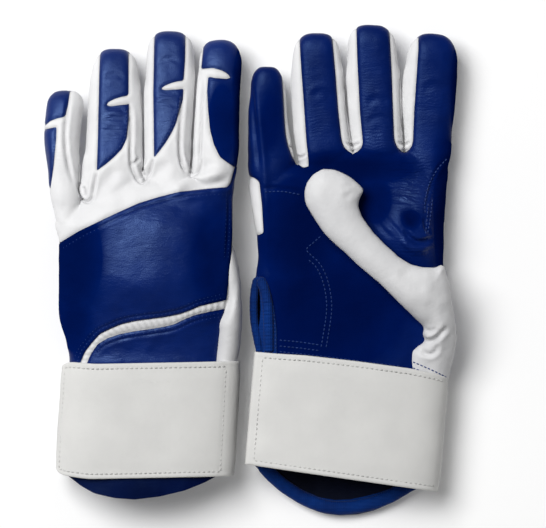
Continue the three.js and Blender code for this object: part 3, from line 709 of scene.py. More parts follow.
RIGHT_PLAN = GlovePlan(
    side="right",
    lie=Lie(origin_y=-77.91, base=13.6, back_up=False, palm=0, roots=1, tips=-2,
            palm_from=(31, 76.7), roots_from=(92, 143.3), tips_from=(133.3, 223.5)),
    hand=plot("535,268,414,10,11 500,254,429,11.2,11.4 463,252,436,11.4,11.5 420,254,441,11.4,11.5 "
              "380,257,443,11.4,11.5 352,258,446,11.4,11.8 335,253,449,11.4,12 305,251,447,11.5,12.3 "
              "280,256,444,11.5,12.3 257,259,443.5,11.4,12.2 234,257.5,444,11,12 "
              "215,254,444.5,10.6,11.4 200,251,445.5,10.2,11 185,249.5,447,9.8,10.4 176,253,448,9.4,10 "
              "170,275,448,9.2,9.8 165,297,447,8.9,9.5 159,304,446,8.4,9 153,312,443,6.2,6.6"),
    fingers=RIGHT_FINGERS,
    finger_up=8.2,
    finger_down=8.6,
    panels=back_panels(Face.BOTTOM, to_right) + (
        Panel("knuckle_panel", plot(
                "236,174 248,176 254,178 259,182 261.5,205 263,233 258,235 236,238"), Face.TOP),
        Panel("vent_binding", plot(
                "262,278 268,289 273.5,305 276.5,330 277,372 236,372 236,300 252,284"), Face.TOP),
        Panel("vent_binding", plot("250,284 262,300 266,330 266,372 236,372 236,290"), Face.BOTTOM),
        Panel("void", plot("258.4,283 260.4,295 261,309 260,322 258.2,330 256.4,320 256,305 "
                           "256.8,291"), Face.TOP),
        Panel("cuff", plot("225,362 480,392 480,560 225,560"), Face.BOTH),
        Panel("cuff_hem", plot(
                "225,440 250,452 262,461 275,472 290,483 305,492 320,498.5 335,501 350,500.5 365,497.5 "
                "380,493.5 395,488 412,480 480,470 480,560 225,560"), Face.BOTTOM),
        Panel("void", plot("225,452 250,461 256,467.5 268,480 280,491.3 295,502 310,509.5 325,514.5 "
                           "340,516.5 358,515.5 375,511.5 393,502.5 410,491 430,484 480,476 480,560 "
                           "225,560"), Face.BOTTOM),
        Panel("void", plot("225,452 247,455 437,484 480,490 480,560 225,560"), Face.TOP),
    ),
    thumb=ThumbPlan(
        outline=THUMB_FREE + plot(
                "397.7,256.4 410.4,264.4 423,268 434.4,267.4 441,264.4 445,267.5 447.4,277 451,293 "
                "455,320 456.6,338 454,355 449,377 444,400 408,396 401,384 403.5,367 406.5,357 "
                "410.5,348 421,344.5 424.5,340.5 422,334 424,327"),
        spine=plot("322,186,32.0,6.6 345,216,32.2,6.9 378,250,32.2,7.3 412,285,31.6,8.2 "
                   "436,300,29.0,8.8 440,322,25.5,9.6 437,345,20.0,9.8 431,368,15.5,9.0 427,396,13.6,7.5"),
        heading=(-0.709, 0.705),
        creases=THUMB_CREASES,
        rows=(plot("409.5,360.5 424,366.5 436,372 448,378"), plot("409,366.5 416,369 423,372")),
    ),
    strap=StrapPlan(
        centre=(346.6, 421.8), turn=-8.2, half_width=49.3, band_height=12.2, flap_height=15.0, length=57.8,
        free_end=-50.3, little_width=46.0, stitch_from=-46.4, stitch_to=47.5, shear=-1.7,
        bow=plot("-52.0,0.0 -40.0,0.7 -24.0,2.0 2.0,2.8 30.0,3.0 42.0,2.2 52.0,0.8"),
    ),
    creases=RIGHT_CREASES,
    rows=RIGHT_ROWS,
    gaps=(
        (plot("344.6,62 345.2,80 346.3,100 348.8,120 351.6,140 353.6,158"), 1.05),
        (plot("401.2,62 401.7,80 402.1,100 402.8,120 403.8,140 404.6,158"), 0.85),
    ),
    web=plot("406,220,6.0,33,37 430,214,3.4,20,28 420,242,3.0,24,26"),
    finer=plot("286,138,312,174 338,130,368,160 392,130,418,160 398,206,440,256"),
    hem=plot("246,454 259,465 271.5,476.7 285,487.8 300,497.4 315,504.4 330,508.5 345,509.2 361,507.2 "
             "377.5,503.1 394,495.8 411,486 427,479"),
    rolls=(
        ("vent_roll", plot("259,277 264,288 267,300 268.4,315 269,330 269.4,354"), 2.7),
        ("vent_lip", plot("258,277 255.4,288 254.2,300 254.2,315 256,330 261,354"), 2.2),
    ),
    crinkles=plot("413,184,24,26,1.2 378,138,18,16,0.45 418,246,22,14,0.5 322,116,16,30,0.2 "
                  "372,96,16,30,0.2 436,100,16,30,0.2"),
    # Painted shade patches, darker and less glossy, over the palm's hollow, under the finger bases, in the
    # web's dimple and along the side edges.
    worn=plot("304,235,44,62,1.0 330,310,76,62,0.95 352,168,62,18,1.0 375,200,18,26,0.8 "
              "411,220,10,10,1.0 270,120,12,40,0.5 448,215,15,76,1.0 459,100,8,62,1.0"),
)


# Finishes


@dataclass(frozen=True)
class Finish:
    """A material's colours (linear), gloss and fine structure."""

    name: str
    slot: str
    colour: Colour
    shade: Colour
    gloss: tuple[float, float]
    weave: Weave
    grain: float
    depth: float
    wrinkle: float = 0.0
    specular: float = 0.3
    sheen: float = 0.0
    tint: Colour = (1.0, 1.0, 1.0)
    stretch: tuple[float, float, float] = (1.0, 1.0, 1.0)


BLUE = Finish("blue_leather", "blue_leather", (0.0008, 0.0125, 0.122), (0.0004, 0.0085, 0.092), (0.31, 0.43),
              Weave.GRAIN, grain=1150, depth=0.19, wrinkle=0.15, specular=0.46, tint=(0.34, 0.54, 1.0),
              stretch=(0.6, 1.35, 1.0))
FINGER = replace(BLUE, name="finger_leather", gloss=(0.37, 0.5), specular=0.62)
PALM = replace(BLUE, name="palm_leather", colour=(0.0004, 0.0102, 0.108), shade=(0.0002, 0.0070, 0.080),
               gloss=(0.33, 0.46), specular=0.24, tint=(0.3, 0.52, 1.0))
# Blue leather painted darker for the cuff, as painted shade from the strap that lies over it.
CUFF = replace(BLUE, name="cuff_leather", colour=(0.0002, 0.0032, 0.038), shade=(0.0001, 0.0020, 0.026),
               gloss=(0.42, 0.55), wrinkle=0.10, specular=0.12, tint=(0.28, 0.52, 1.0))
WHITE = Finish("white_leather", "white_leather", (0.75, 0.75, 0.756), (0.695, 0.695, 0.705), (0.45, 0.62),
               Weave.GRAIN, grain=1300, depth=0.09, wrinkle=0.14)
THUMB = replace(WHITE, name="thumb_leather", colour=(0.655, 0.655, 0.662), shade=(0.605, 0.605, 0.615))
STRAP = Finish("strap_synthetic", "strap", (0.645, 0.642, 0.625), (0.607, 0.604, 0.589), (0.5, 0.62),
               Weave.GRAIN, grain=2200, depth=0.06, wrinkle=0.08)
LINING = Finish("cuff_lining", "cuff_lining", (0.004, 0.006, 0.018), (0.002, 0.003, 0.009), (0.8, 0.95),
                Weave.CLOTH, grain=1600, depth=0.2, wrinkle=0.1, specular=0.1)
KNIT = Finish("vent_knit", "knit_binding", (0.0012, 0.027, 0.175), (0.0006, 0.013, 0.10), (0.6, 0.75),
              Weave.KNIT, grain=900, depth=0.35, wrinkle=0.1, specular=0.2, sheen=0.05, tint=(0.3, 0.55, 1.0))
FASTENER = Finish("hook_and_loop", "fastener", (0.03, 0.035, 0.05), (0.012, 0.014, 0.022), (0.75, 0.9),
                  Weave.PILE, grain=1100, depth=0.5, wrinkle=0.1, specular=0.2)
BLUE_THREAD = Finish("blue_thread", "blue_leather", (0.017, 0.048, 0.215), (0.011, 0.031, 0.145), (0.5, 0.62),
                     Weave.TWIST, grain=2600, depth=0.3)
WHITE_THREAD = replace(BLUE_THREAD, name="white_thread", slot="white_leather", colour=(0.66, 0.66, 0.64),
                       shade=(0.55, 0.55, 0.535))


class Nodes:
    """A material's node tree, with short ways to add nodes and link them."""

    def __init__(self, name: str) -> None:
        """Starts a new material."""
        self.material = bpy.data.materials.new(name)
        self.material.use_nodes = True
        self.tree = self.material.node_tree
        self.shader = self.tree.nodes["Principled BSDF"]

    def feed(self, node: bpy.types.Node, inputs: Inputs) -> None:
        """Links or sets a node's inputs.

        Args:
            node: the node.
            inputs: sockets to link and values to set.
        """
        for key, value in inputs.items():
            if isinstance(value, Socket):
                self.tree.links.new(value, node.inputs[key])
            else:
                node.inputs[key].default_value = value

    def add(self, kind: str, output: str, inputs: Inputs | None = None, **settings: str) -> Socket:
        """Adds a node.

        Args:
            kind: its type, without the common prefix.
            output: the output that is wanted.
            inputs: sockets to link and values to set.
            settings: its other properties.
        Returns:
            The output socket.
        """
        node = self.tree.nodes.new(f"ShaderNode{kind}")
        for key, value in settings.items():
            setattr(node, key, value)
        self.feed(node, inputs or {})
        return node.outputs[output]

    def attribute(self, label: str) -> Socket:
        """A value that the mesh carries at its points."""
        return self.add("Attribute", "Fac", attribute_name=label)

    def math(self, operation: str, *values: Socket | float) -> Socket:
        """Arithmetic on sockets and numbers."""
        return self.add("Math", "Value", dict(enumerate(values)), operation=operation)

    def cloud(self, at: Socket, scale: float, detail: float) -> Socket:
        """Soft noise."""
        return self.add("TexNoise", "Fac", {"Vector": at, "Scale": scale, "Detail": detail})

    def ranged(self, value: Socket, low: float, high: float, to: tuple[float, float]) -> Socket:
        """A value carried from one range to another."""
        return self.add("MapRange", "Result", {"Value": value, "From Min": low, "From Max": high,
                                               "To Min": to[0], "To Max": to[1]})

    def mixed(self, factor: Socket, first: Colour | Socket, second: Colour | Socket) -> Socket:
        """A mix of two colours."""
        a, b = ((*colour, 1) if isinstance(colour, tuple) else colour for colour in (first, second))
        return self.add("Mix", "Result", {"Factor": factor, "A": a, "B": b}, data_type="RGBA")

    def bump(self, height: Socket, strength: float, reach: float, normal: Socket | None = None) -> Socket:
        """Fine relief, over an earlier one where it is given."""
        inputs = {"Height": height, "Strength": strength, "Distance": reach}
        return self.add("Bump", "Normal", inputs if normal is None else inputs | {"Normal": normal})


class Palette:
    """Makes each finish's node material once."""

    # How dark the line along seams and narrow folds and the painted shade patches are against the shade
    # colour, and how much of either shows.
    DEEP, DULL = 0.55, 0.5
    SEAM_SHARE, WORN_SHARE = 0.75, 0.85
    # Shine that crinkles add, and how much painted shade a place has when no shine is left.
    CRINKLE_SHINE, WORN_MATT = 0.3, 0.4
    # Noise scales per metre, and the span of the noise that is used.
    TONE_SCALE, GLOSS_SCALE, WRINKLE_SCALE = 55, 170, 420
    TONE_SPAN, GLOSS_SPAN = (0.35, 0.68), (0.3, 0.7)
    GRAIN_STRENGTH, GRAIN_REACH = 2.2, 0.25 * MM
    WRINKLE_REACH = 1.2 * MM
    CRINKLE_STRENGTH, CRINKLE_REACH = 0.6, 0.3 * MM

    def __init__(self) -> None:
        """Starts without any material."""
        self.made: dict[str, bpy.types.Material] = {}

    def material(self, finish: Finish) -> bpy.types.Material:
        """The procedural material of a finish.

        Args:
            finish: the finish.
        Returns:
            Its material.
        """
        if finish.name not in self.made:
            self.made[finish.name] = self._make(finish)
        return self.made[finish.name]

    def _make(self, finish: Finish) -> bpy.types.Material:
        """Builds the node tree: clouded colour, painted shade in patches and along seams and folds, gloss and
        three layers of relief.

        Args:
            finish: the finish.
        Returns:
            Its material.
        """
        tree = Nodes(finish.name)
        where = tree.add("TexCoord", "Object")
        drawn = tree.add("Mapping", "Vector", {"Vector": where, "Scale": finish.stretch})
        tone = tree.ranged(tree.cloud(where, self.TONE_SCALE, 5), *self.TONE_SPAN, (0, 1))
        body = tree.mixed(tone, finish.shade, finish.colour)
        specular = finish.specular
        # Painted shade: patches marked at the points darken the colour and take away its shine.
        if finish.slot == "blue_leather":
            worn = tree.attribute("worn")
            dull = tuple(self.DULL * c for c in finish.shade)
            body = tree.mixed(tree.ranged(worn, 0, 1, (0, self.WORN_SHARE)), body, dull)
            shine = tree.math("MULTIPLY_ADD", tree.attribute("crinkle"), self.CRINKLE_SHINE, finish.specular)
            specular = tree.math("MULTIPLY", shine, tree.ranged(worn, 0, self.WORN_MATT, (1, 0)))
        deep = tuple(self.DEEP * c for c in finish.shade)
        grain = self._structure(finish, tree, where)
        normal = tree.bump(grain, finish.depth * self.GRAIN_STRENGTH, self.GRAIN_REACH)
        wrinkles = tree.cloud(drawn, self.WRINKLE_SCALE, 5)
        normal = tree.bump(wrinkles, finish.wrinkle, self.WRINKLE_REACH, normal)
        if finish.weave is Weave.GRAIN:
            normal = tree.bump(self._crinkle(tree, where), self.CRINKLE_STRENGTH, self.CRINKLE_REACH, normal)
        # The seam value darkens the colour: a dark joint along seams, and painted shade along narrow folds
        # and gathers.
        seam = tree.ranged(tree.attribute("seam"), 0, 1, (0, self.SEAM_SHARE))
        tree.feed(tree.shader, {
            "Base Color": tree.mixed(seam, body, deep),
            "Roughness": tree.ranged(tree.cloud(where, self.GLOSS_SCALE, 3), *self.GLOSS_SPAN, finish.gloss),
            "Specular IOR Level": specular,
            "Specular Tint": (*finish.tint, 1),
            "Sheen Weight": finish.sheen,
            "Normal": normal,
        })
        return tree.material

    @staticmethod
    def _crinkle(tree: Nodes, where: Socket) -> Socket:
        """Fine wrinkles across the finger's length, as strong as the surface's own crinkle value.

        Args:
            tree: the material's nodes.
            where: object coordinates.
        Returns:
            The height.
        """
        wave = tree.add("TexWave", "Fac", {"Vector": where, "Scale": 185, "Distortion": 9.0, "Detail": 2.0,
                                           "Detail Scale": 0.8}, bands_direction="Y")
        return tree.math("MULTIPLY", wave, tree.attribute("crinkle"))

    @staticmethod
    def _structure(finish: Finish, tree: Nodes, where: Socket) -> Socket:
        """The height of a finish's grain, pile or threads.

        Args:
            finish: the finish.
            tree: its nodes.
            where: object coordinates.
        Returns:
            The height.
        """
        if finish.weave in (Weave.GRAIN, Weave.PILE):
            feature = "DISTANCE_TO_EDGE" if finish.weave is Weave.GRAIN else "F1"
            cells = {"Vector": where, "Scale": finish.grain}
            return tree.add("TexVoronoi", "Distance", cells, feature=feature)
        knit = finish.weave is Weave.KNIT
        waves = [tree.add("TexWave", "Fac", {"Vector": where, "Scale": finish.grain / coarse,
                                             "Distortion": 1.2 if knit else 0.4}, bands_direction=axis)
                 for axis, coarse in (("X", 3.0), ("Y", 4.5))]
        return tree.math("MULTIPLY" if knit else "MAXIMUM", *waves)


# Soft surfaces


def quads(rows: int, cols: int, around: bool = False) -> list[list[int]]:
    """The faces of a grid of points, row by row; around joins its last column to the first."""
    return [[i * cols + j, i * cols + (j + 1) % cols, (i + 1) * cols + (j + 1) % cols, (i + 1) * cols + j]
            for i in range(rows - 1) for j in range(cols if around else cols - 1)]


def lofted(rings: Array) -> Solid:
    """Points and faces of a closed tube through rings, a k by s by 3 array.

    Args:
        rings: k by s by 3 array.
    Returns:
        Points and faces.
    """
    count, sides = rings.shape[:2]
    faces = quads(count, sides, True)
    faces.append(list(range(sides))[::-1])
    faces.append([(count - 1) * sides + j for j in range(sides)])
    return rings.reshape(-1, 3), faces


def compact(faces: Sequence[Sequence[int]]) -> tuple[list[int], list[list[int]]]:
    """The points that faces use, and the same faces counted over those points.

    Args:
        faces: point numbers of each face.
    Returns:
        The used points' numbers, and the renumbered faces.
    """
    used = sorted({k for face in faces for k in face})
    back = {old: new for new, old in enumerate(used)}
    return used, [[back[k] for k in face] for face in faces]


def lined(faces: Sequence[list[int]], count: int) -> tuple[list[list[int]], list[list[int]]]:
    """What closes a sheet into a layer.

    Args:
        faces: the sheet's outer faces.
        count: how many points on each outer point's inner copy is.
    Returns:
        The inner faces, and the rim between both sides.
    """
    sides = {side: None for face in faces for side in zip(face, face[1:] + face[:1])}
    rim = [[b, a, a + count, b + count] for a, b in sides if (b, a) not in sides]
    return [[k + count for k in reversed(face)] for face in faces], rim


def soft_ring(centre: Array, half: float, up: float, down: float, power: float, sides: int) -> Array:
    """One ring of a soft tube, a little squarer than an ellipse.

    Args:
        centre: its middle.
        half: half width.
        up: height over the middle.
        down: depth under it.
        power: how square it is; 2 is an ellipse.
        sides: number of points.
    Returns:
        sides by 3 array.
    """
    c, s = np.cos(circle(sides)), np.sin(circle(sides))
    wide = np.sign(c) * np.abs(c) ** (2 / power) * half
    tall = np.sign(s) * np.abs(s) ** (2 / power) * np.where(s > 0, up, down)
    return centre + np.column_stack([wide, np.zeros(sides), tall])


def dome(value: Array) -> Array:
    """A quarter circle's rise, from 0 at 0 to 1 from 1 on."""
    return np.sqrt(np.clip(1 - (1 - np.clip(value, 0, 1)) ** 2, 0, 1))


def bell(value: Array) -> Array:
    """One at zero, falling off smoothly to both sides."""
    return np.exp(-(value ** 2))


def pillow(outline: Array, height: Callable[[Array], tuple[Array, Array]],
           edge: float) -> Solid:
    """A filled form with a given outline, thickest away from its edge.

    Args:
        outline: closed outline in the plane.
        height: middle height and half thickness at plane points.
        edge: distance over which the edge rounds off.
    Returns:
        Points and faces of a closed form.
    """
    low, high = outline.min(axis=0) - VOXEL, outline.max(axis=0) + VOXEL
    grid = np.stack(np.meshgrid(*(np.arange(a, b, VOXEL) for a, b in zip(low, high))), axis=-1)
    flat = grid.reshape(-1, 2).copy()
    filled = inside((grid[:-1, :-1] + VOXEL / 2).reshape(-1, 2), outline)
    depth, share = distance(flat, outline, True)
    loop = np.vstack([outline, outline[:1]])
    run = run_of(loop)
    out = ~inside(flat, outline)
    flat[out] = sampled(loop, run, share * run[-1])[out]
    depth[out] = 0
    middle, half = height(flat)
    thick = np.maximum(half * dome(depth / edge), 0.05 * MM)
    used, faces = compact([quad for quad, keep in zip(quads(*grid.shape[:2]), filled) if keep])
    points = [np.column_stack([flat, middle + side * thick])[used] for side in (1, -1)]
    inner, rim = lined(faces, len(used))
    return np.vstack(points), faces + inner + rim


class Skin:
    """A soft closed surface that is shaped, scored along its seams and cut into sewn panels."""

    # Steps in and out, in turn, that even the surface and keep its volume.
    SMOOTHING = (0.55, -0.57)
    # How far a normal leans to a face where folds are pressed into that face.
    LEANS = 0.05
    # Share of an edge within which its end is pulled onto a cut.
    SNAP = 0.24
    # A gap between fingers: where its pull fades at foot and head, how far it holds and fades, its most.
    GAP_FOOT, GAP_HEAD, GAP_HOLD, GAP_FADE, GAP_MOST = 6 * MM, 9 * MM, 1.2 * MM, 4 * MM, 0.62
    MOUND_FULL = 7 * MM
    # The lips beside a fold: height, distance in widths, sharpness.
    LIP, LIP_AT, LIP_SHARP = 0.35, 1.6, 1.4
    RUFFLES = (62, 190)
    # A seam in mm: width of its groove and dark line, then the swell beside it: height, from and to.
    GROOVE, SEAM_LINE = 0.75, 0.55
    SWELL, SWELL_FROM, SWELL_TO = 0.75, 1.6, 6.5
    # Which creases get a dark line, seams and narrow folds alike, the line in a fold being painted shade, and
    # how dark and wide it is.
    SEWN_DEPTH, SEWN_WIDTH, SEWN_DARK, SEWN_LINE = 0.5, 1.1, 0.7, 0.6
    # How far a fold reaches, in widths, and how fast it starts and ends along its run.
    FOLD_REACH, FOLD_FADE = 3, 5
    # A cut's reach round an outline, past the side seam, and to either side of its line.
    CUT_MARGIN, CUT_OVER, CUT_NEAR = 3 * VOXEL, 0.1 * VOXEL, 2.5 * VOXEL
    # Thickness in a fold: how far inside the surface it is measured from, in mm, and one side's share of it.
    ROOM_FROM, ROOM_SHARE = 0.05, 0.4
    # Lines laid on the surface: their steps, and the heights they are laid from.
    LAID_STEP, FROM_ABOVE, FROM_BELOW = 1.2 * MM, 0.2, -0.1

    def __init__(self, solids: Sequence[Solid], level: Callable[[Array], Array]) -> None:
        """Joins solids into one even surface.

        Args:
            solids: closed forms that overlap.
            level: height of points over the side seam between the two faces.
        """
        self.level = level
        self.bm = self._joined(solids)
        self.labels: list[str] = []
        self.polys: list[list[int]] = []
        self.kept = self.out = np.zeros((0, 3))
        self.seam = self.fine = self.worn = self.room = np.zeros(0)
        self.tree: BVHTree | None = None

    @staticmethod
    def _joined(solids: Sequence[Solid]) -> bmesh.types.BMesh:
        """One even skin over overlapping solids.

        Args:
            solids: closed forms.
        Returns:
            The skin.
        """
        points, faces, start = [], [], 0
        for verts, polys in solids:
            points.append(verts)
            faces.extend([i + start for i in poly] for poly in polys)
            start += len(verts)
        mesh = bpy.data.meshes.new("blank")
        mesh.from_pydata(np.vstack(points).tolist(), [], faces)
        blank = bpy.data.objects.new("blank", mesh)
        bpy.context.scene.collection.objects.link(blank)
        grid = blank.modifiers.new("Grid", "REMESH")
        grid.mode = "VOXEL"
        grid.voxel_size = VOXEL
        even = bpy.data.meshes.new_from_object(blank.evaluated_get(bpy.context.evaluated_depsgraph_get()))
        bpy.data.objects.remove(blank)
        bm = bmesh.new()
        bm.from_mesh(even)
        bpy.data.meshes.remove(even)
        bpy.data.meshes.remove(mesh)
        return bm

    def points(self) -> Array:
        """All points, n by 3.

        Returns:
            The points.
        """
        self.bm.verts.index_update()
        self.bm.verts.ensure_lookup_table()
        return np.array([v.co[:] for v in self.bm.verts])

    def normals(self) -> Array:
        """All point normals, n by 3."""
        self.bm.normal_update()
        return np.array([v.normal[:] for v in self.bm.verts])

    def put(self, points: Array) -> None:
        """Moves all points."""
        for vert, co in zip(self.bm.verts, points.tolist()):
            vert.co = co

    def smooth(self, rounds: int) -> None:
        """Evens out the surface without shrinking it.

        Args:
            rounds: number of steps.
        """
        points = self.points()
        ends = np.array([(e.verts[0].index, e.verts[1].index) for e in self.bm.edges])
        a, b = np.concatenate([ends[:, 0], ends[:, 1]]), np.concatenate([ends[:, 1], ends[:, 0]])
        count = np.bincount(a, minlength=len(points))[:, None]
        for step in range(rounds):
            mean = np.column_stack([np.bincount(a, points[b, k], len(points)) for k in range(3)]) / count
            points = points + self.SMOOTHING[step % 2] * (mean - points)
        self.put(points)

    def refine(self, boxes: Sequence[tuple[float, float, float, float]]) -> None:
        """Makes the upper face twice as fine where small folds lie: left, top, right and foot pixels.

        Args:
            boxes: left, top, right and foot pixels.
        """
        points = self.points()
        near = np.zeros(len(points), bool)
        for left, top, right, foot in boxes:
            low, high = place([(left, foot), (right, top)])
            near |= np.all((points[:, :2] > low) & (points[:, :2] < high), axis=1)
        near &= self.level(points) > 0
        edges = [e for e in self.bm.edges if near[e.verts[0].index] and near[e.verts[1].index]]
        bmesh.ops.subdivide_edges(self.bm, edges=edges, cuts=1, use_grid_fill=True)

    def draw_together(self, gaps: Sequence[tuple[Pixels, float]]) -> None:
        """Closes the spaces between neighbouring fingers along lines, by a distance in mm a side.

        Args:
            gaps: pixels along a line, and the distance.
        """
        points = self.points()
        for line, amount in gaps:
            spots = flowing(place(line), 40)
            x, y = spots[np.argsort(spots[:, 1])].T
            off = points[:, 0] - np.interp(points[:, 1], y, x)
            window = (smoothstep(points[:, 1], y[0] - self.GAP_FOOT, y[0])
                      * (1 - smoothstep(points[:, 1], y[-1] - self.GAP_HEAD, y[-1])))
            far = np.maximum(np.abs(off) - self.GAP_HOLD, 0) / self.GAP_FADE
            pull = np.minimum(amount * MM, self.GAP_MOST * np.abs(off)) * bell(far) * window
            points[:, 0] -= np.sign(off) * pull
        self.put(points)

    @staticmethod
    def _away(points: Array, x: float, y: float, wide: float, long: float) -> Array:
        """Squared distance from a pixel, counted in a reach across and a reach along."""
        off = (points[:, :2] - place([(x, y)])[0]) / (np.array([wide, long]) * PIXEL)
        return np.sum(off * off, axis=1)

    def swell(self, mounds: Sequence[Patch]) -> None:
        """Raises soft mounds on one face.

        Args:
            mounds: column, row, height in mm (negative: below), reach across and along in pixels.
        """
        points = self.points()
        rise = np.zeros(len(points))
        level = self.level(points)
        for x, y, high, wide, long in mounds:
            side = level if high > 0 else -level
            mound = np.exp(-self._away(points, x, y, wide, long))
            rise += high * MM * mound * smoothstep(side, 0, self.MOUND_FULL)
        points[:, 2] += rise
        self.put(points)

    def press(self, creases: Sequence[Crease], up: bool) -> None:
        """Folds and ridges along lines on one face.

        Args:
            creases: the folds and ridges.
            up: whether they are on the upper face.
        """
        points, normals = self.points(), self.normals()
        move = np.zeros(len(points))
        facing = (normals[:, 2] if up else -normals[:, 2]) > self.LEANS
        for crease in creases:
            near, x, fade = self._beside(points, facing, crease)
            lipped = crease.depth > 0 and crease.fades
            lips = self.LIP * np.exp(-((x - self.LIP_AT) ** 2) * self.LIP_SHARP) if lipped else 0.0
            move[near] += -crease.depth * MM * fade * (bell(x) - lips)
        self.put(points + normals * move[:, None])

    def _beside(self, points: Array, facing: Array,
                crease: Crease) -> tuple[Array, Array, Array]:
        """The points near a crease, how many widths they are from it, and how far it has faded there.

        Args:
            points: n by 3 array.
            facing: which points are on the crease's face.
            crease: the crease.
        Returns:
            The points' numbers, widths and fades.
        """
        line = flowing(place(crease.line), 24)
        width = crease.width * MM
        reach = self.FOLD_REACH * width
        low, high = line.min(axis=0) - reach, line.max(axis=0) + reach
        near = np.nonzero(facing & np.all((points[:, :2] > low) & (points[:, :2] < high), axis=1))[0]
        away, share = distance(points[near, :2], line)
        fade = np.ones(len(near))
        if crease.fades:
            fade = np.clip(np.minimum(share, 1 - share) * self.FOLD_FADE, 0, 1)
        return near, away / width, fade

    def ruffle(self, coarse: float, fine: float) -> None:
        """The slight unevenness of soft leather.

        Args:
            coarse: height of its wide waves in mm.
            fine: height of its close waves in mm.
        """
        points, normals = self.points(), self.normals()
        wide, close = self.RUFFLES
        move = np.array([coarse * noise.noise(Vector(p) * wide) + fine * noise.noise(Vector(p) * close)
                         for p in points])
        self.put(points + normals * (move * MM)[:, None])

    def _score(self, outline: Array, face: Face) -> None:
        """Cuts edges into one or both faces along a closed outline.

        Args:
            outline: m by 2 array.
            face: the face or faces.
        """
        points = self.points()
        upper = self.level(points)
        near = np.all((points[:, :2] > outline.min(axis=0) - self.CUT_MARGIN)
                      & (points[:, :2] < outline.max(axis=0) + self.CUT_MARGIN), axis=1)
        if face is Face.TOP:
            near &= upper > -self.CUT_OVER
        if face is Face.BOTTOM:
            near &= upper < self.CUT_OVER
        index = np.nonzero(near)[0]
        value = np.full(len(points), np.nan)
        away, _ = distance(points[index, :2], outline, True)
        value[index] = np.where(inside(points[index, :2], outline), away, -away)
        self._cut(value)

    def _cut(self, value: Array) -> None:
        """Cuts edges into the surface where a value at its points changes sign.

        Args:
            value: n values, not a number where nothing is cut.
        """
        self.bm.edges.index_update()
        verts = self.bm.verts
        close = np.nonzero(np.abs(value) < self.CUT_NEAR)[0]
        found = {edge.index: edge for i in close for edge in verts[i].link_edges}
        edges = [found[k] for k in sorted(found)]
        on_line = []
        for edge in edges:
            a, b = edge.verts
            fa, fb = value[a.index], value[b.index]
            if not fa * fb < 0:
                continue
            t = fa / (fa - fb)
            if self.SNAP < t < 1 - self.SNAP:
                continue
            pulled, other, share = (a, b, t) if t <= self.SNAP else (b, a, 1 - t)
            pulled.co = pulled.co.lerp(other.co, share)
            value[pulled.index] = 0
            on_line.append(pulled)
        for edge in edges:
            a, b = edge.verts
            if not (0 <= a.index < len(value) and 0 <= b.index < len(value)):
                continue
            fa, fb = value[a.index], value[b.index]
            if fa * fb < 0:
                _, new = bmesh.utils.edge_split(edge, a, fa / (fa - fb))
                new.index = len(value) + len(on_line)
                on_line.append(new)
        marked = set(on_line)
        for vert in on_line:
            for poly in list(vert.link_faces):
                ends = [v for v in poly.verts if v in marked]
                if len(ends) == 2 and not any(e.other_vert(ends[0]) is ends[1] for e in ends[0].link_edges):
                    bmesh.utils.face_split(poly, ends[0], ends[1])

    def sew(self, panels: Sequence[Panel], rest: tuple[str, str], quiet: Callable[[str, str], bool],
            depth: float) -> None:
        """Cuts all panels, names every face and sinks the seams between panels.

        Args:
            panels: later ones lie over earlier ones.
            rest: the labels of what is left on the upper and on the lower face.
            quiet: whether a border between two labels has no seam to see.
            depth: seam depth in mm.
        """
        self._cut(self.level(self.points()))
        outlines = [softened(place(panel.outline)) for panel in panels]
        for panel, outline in zip(panels, outlines):
            self._score(outline, panel.face)
        self.bm.faces.index_update()
        centres = np.array([f.calc_center_median()[:] for f in self.bm.faces])
        upper = self.level(centres) > 0
        labels = np.where(upper, *rest).astype(object)
        for panel, outline in zip(panels, outlines):
            hit = inside(centres[:, :2], outline)
            if panel.face is not Face.BOTH:
                hit &= upper if panel.face is Face.TOP else ~upper
            labels[hit] = panel.label
        self.labels = labels.tolist()
        self._sink(quiet, depth)

    def _sink(self, quiet: Callable[[str, str], bool], depth: float) -> None:
        """Presses a groove along each border with a seam, and plumps the leather beside it.

        Args:
            quiet: whether a border has no seam to see.
            depth: seam depth in mm.
        """
        line = []
        for edge in self.bm.edges:
            if len(edge.link_faces) != 2:
                continue
            a, b = (self.labels[f.index] for f in edge.link_faces)
            if a != b and "void" not in (a, b) and not quiet(a, b):
                start, end = (v.co.copy() for v in edge.verts)
                line.extend((start, (start + end) / 2, end))
        points, normals = self.points(), self.normals()
        self.seam = np.zeros(len(points))
        if not line:
            return
        tree = KDTree(len(line))
        for i, co in enumerate(line):
            tree.insert(co, i)
        tree.balance()
        d = np.array([tree.find(p)[2] for p in points.tolist()]) / MM
        groove = -depth * bell(d / self.GROOVE)
        swell = self.SWELL * depth * (1 - bell(d / self.SWELL_FROM)) * bell(d / self.SWELL_TO)
        self.seam = bell(d / self.SEAM_LINE)
        self.put(points + normals * ((groove + swell) * MM)[:, None])

    def freeze(self, creases: Sequence[Crease] = (), crinkles: Sequence[Patch] = (),
               worn: Sequence[Patch] = ()) -> None:
        """Keeps the finished surface for cutting pieces and laying stitches.

        Args:
            creases: folds; the narrow ones, seams and folds alike, get a dark line, which in a fold is
                painted shade.
            crinkles: where the leather is finely wrinkled: column, row, reach across and along, strength.
            worn: patches painted darker and less glossy, as painted shade, in the same way.
        """
        self.kept, self.out = self.points(), self.normals()
        facing = self.out[:, 2] > self.LEANS
        # A dark line along each narrow crease: a seam's dark joint, and painted shade where the crease is a
        # fold or gather.
        for crease in creases:
            if crease.depth >= self.SEWN_DEPTH and crease.width <= self.SEWN_WIDTH:
                near, x, fade = self._beside(self.kept, facing, crease)
                line = self.SEWN_DARK * fade * bell(x * crease.width / self.SEWN_LINE)
                self.seam[near] = np.maximum(self.seam[near], line)
        self.fine, self.worn = self._patchy(crinkles), self._patchy(worn)
        self.polys = [[v.index for v in f.verts] for f in self.bm.faces]
        self.tree = BVHTree.FromBMesh(self.bm)
        self.room = self._room()

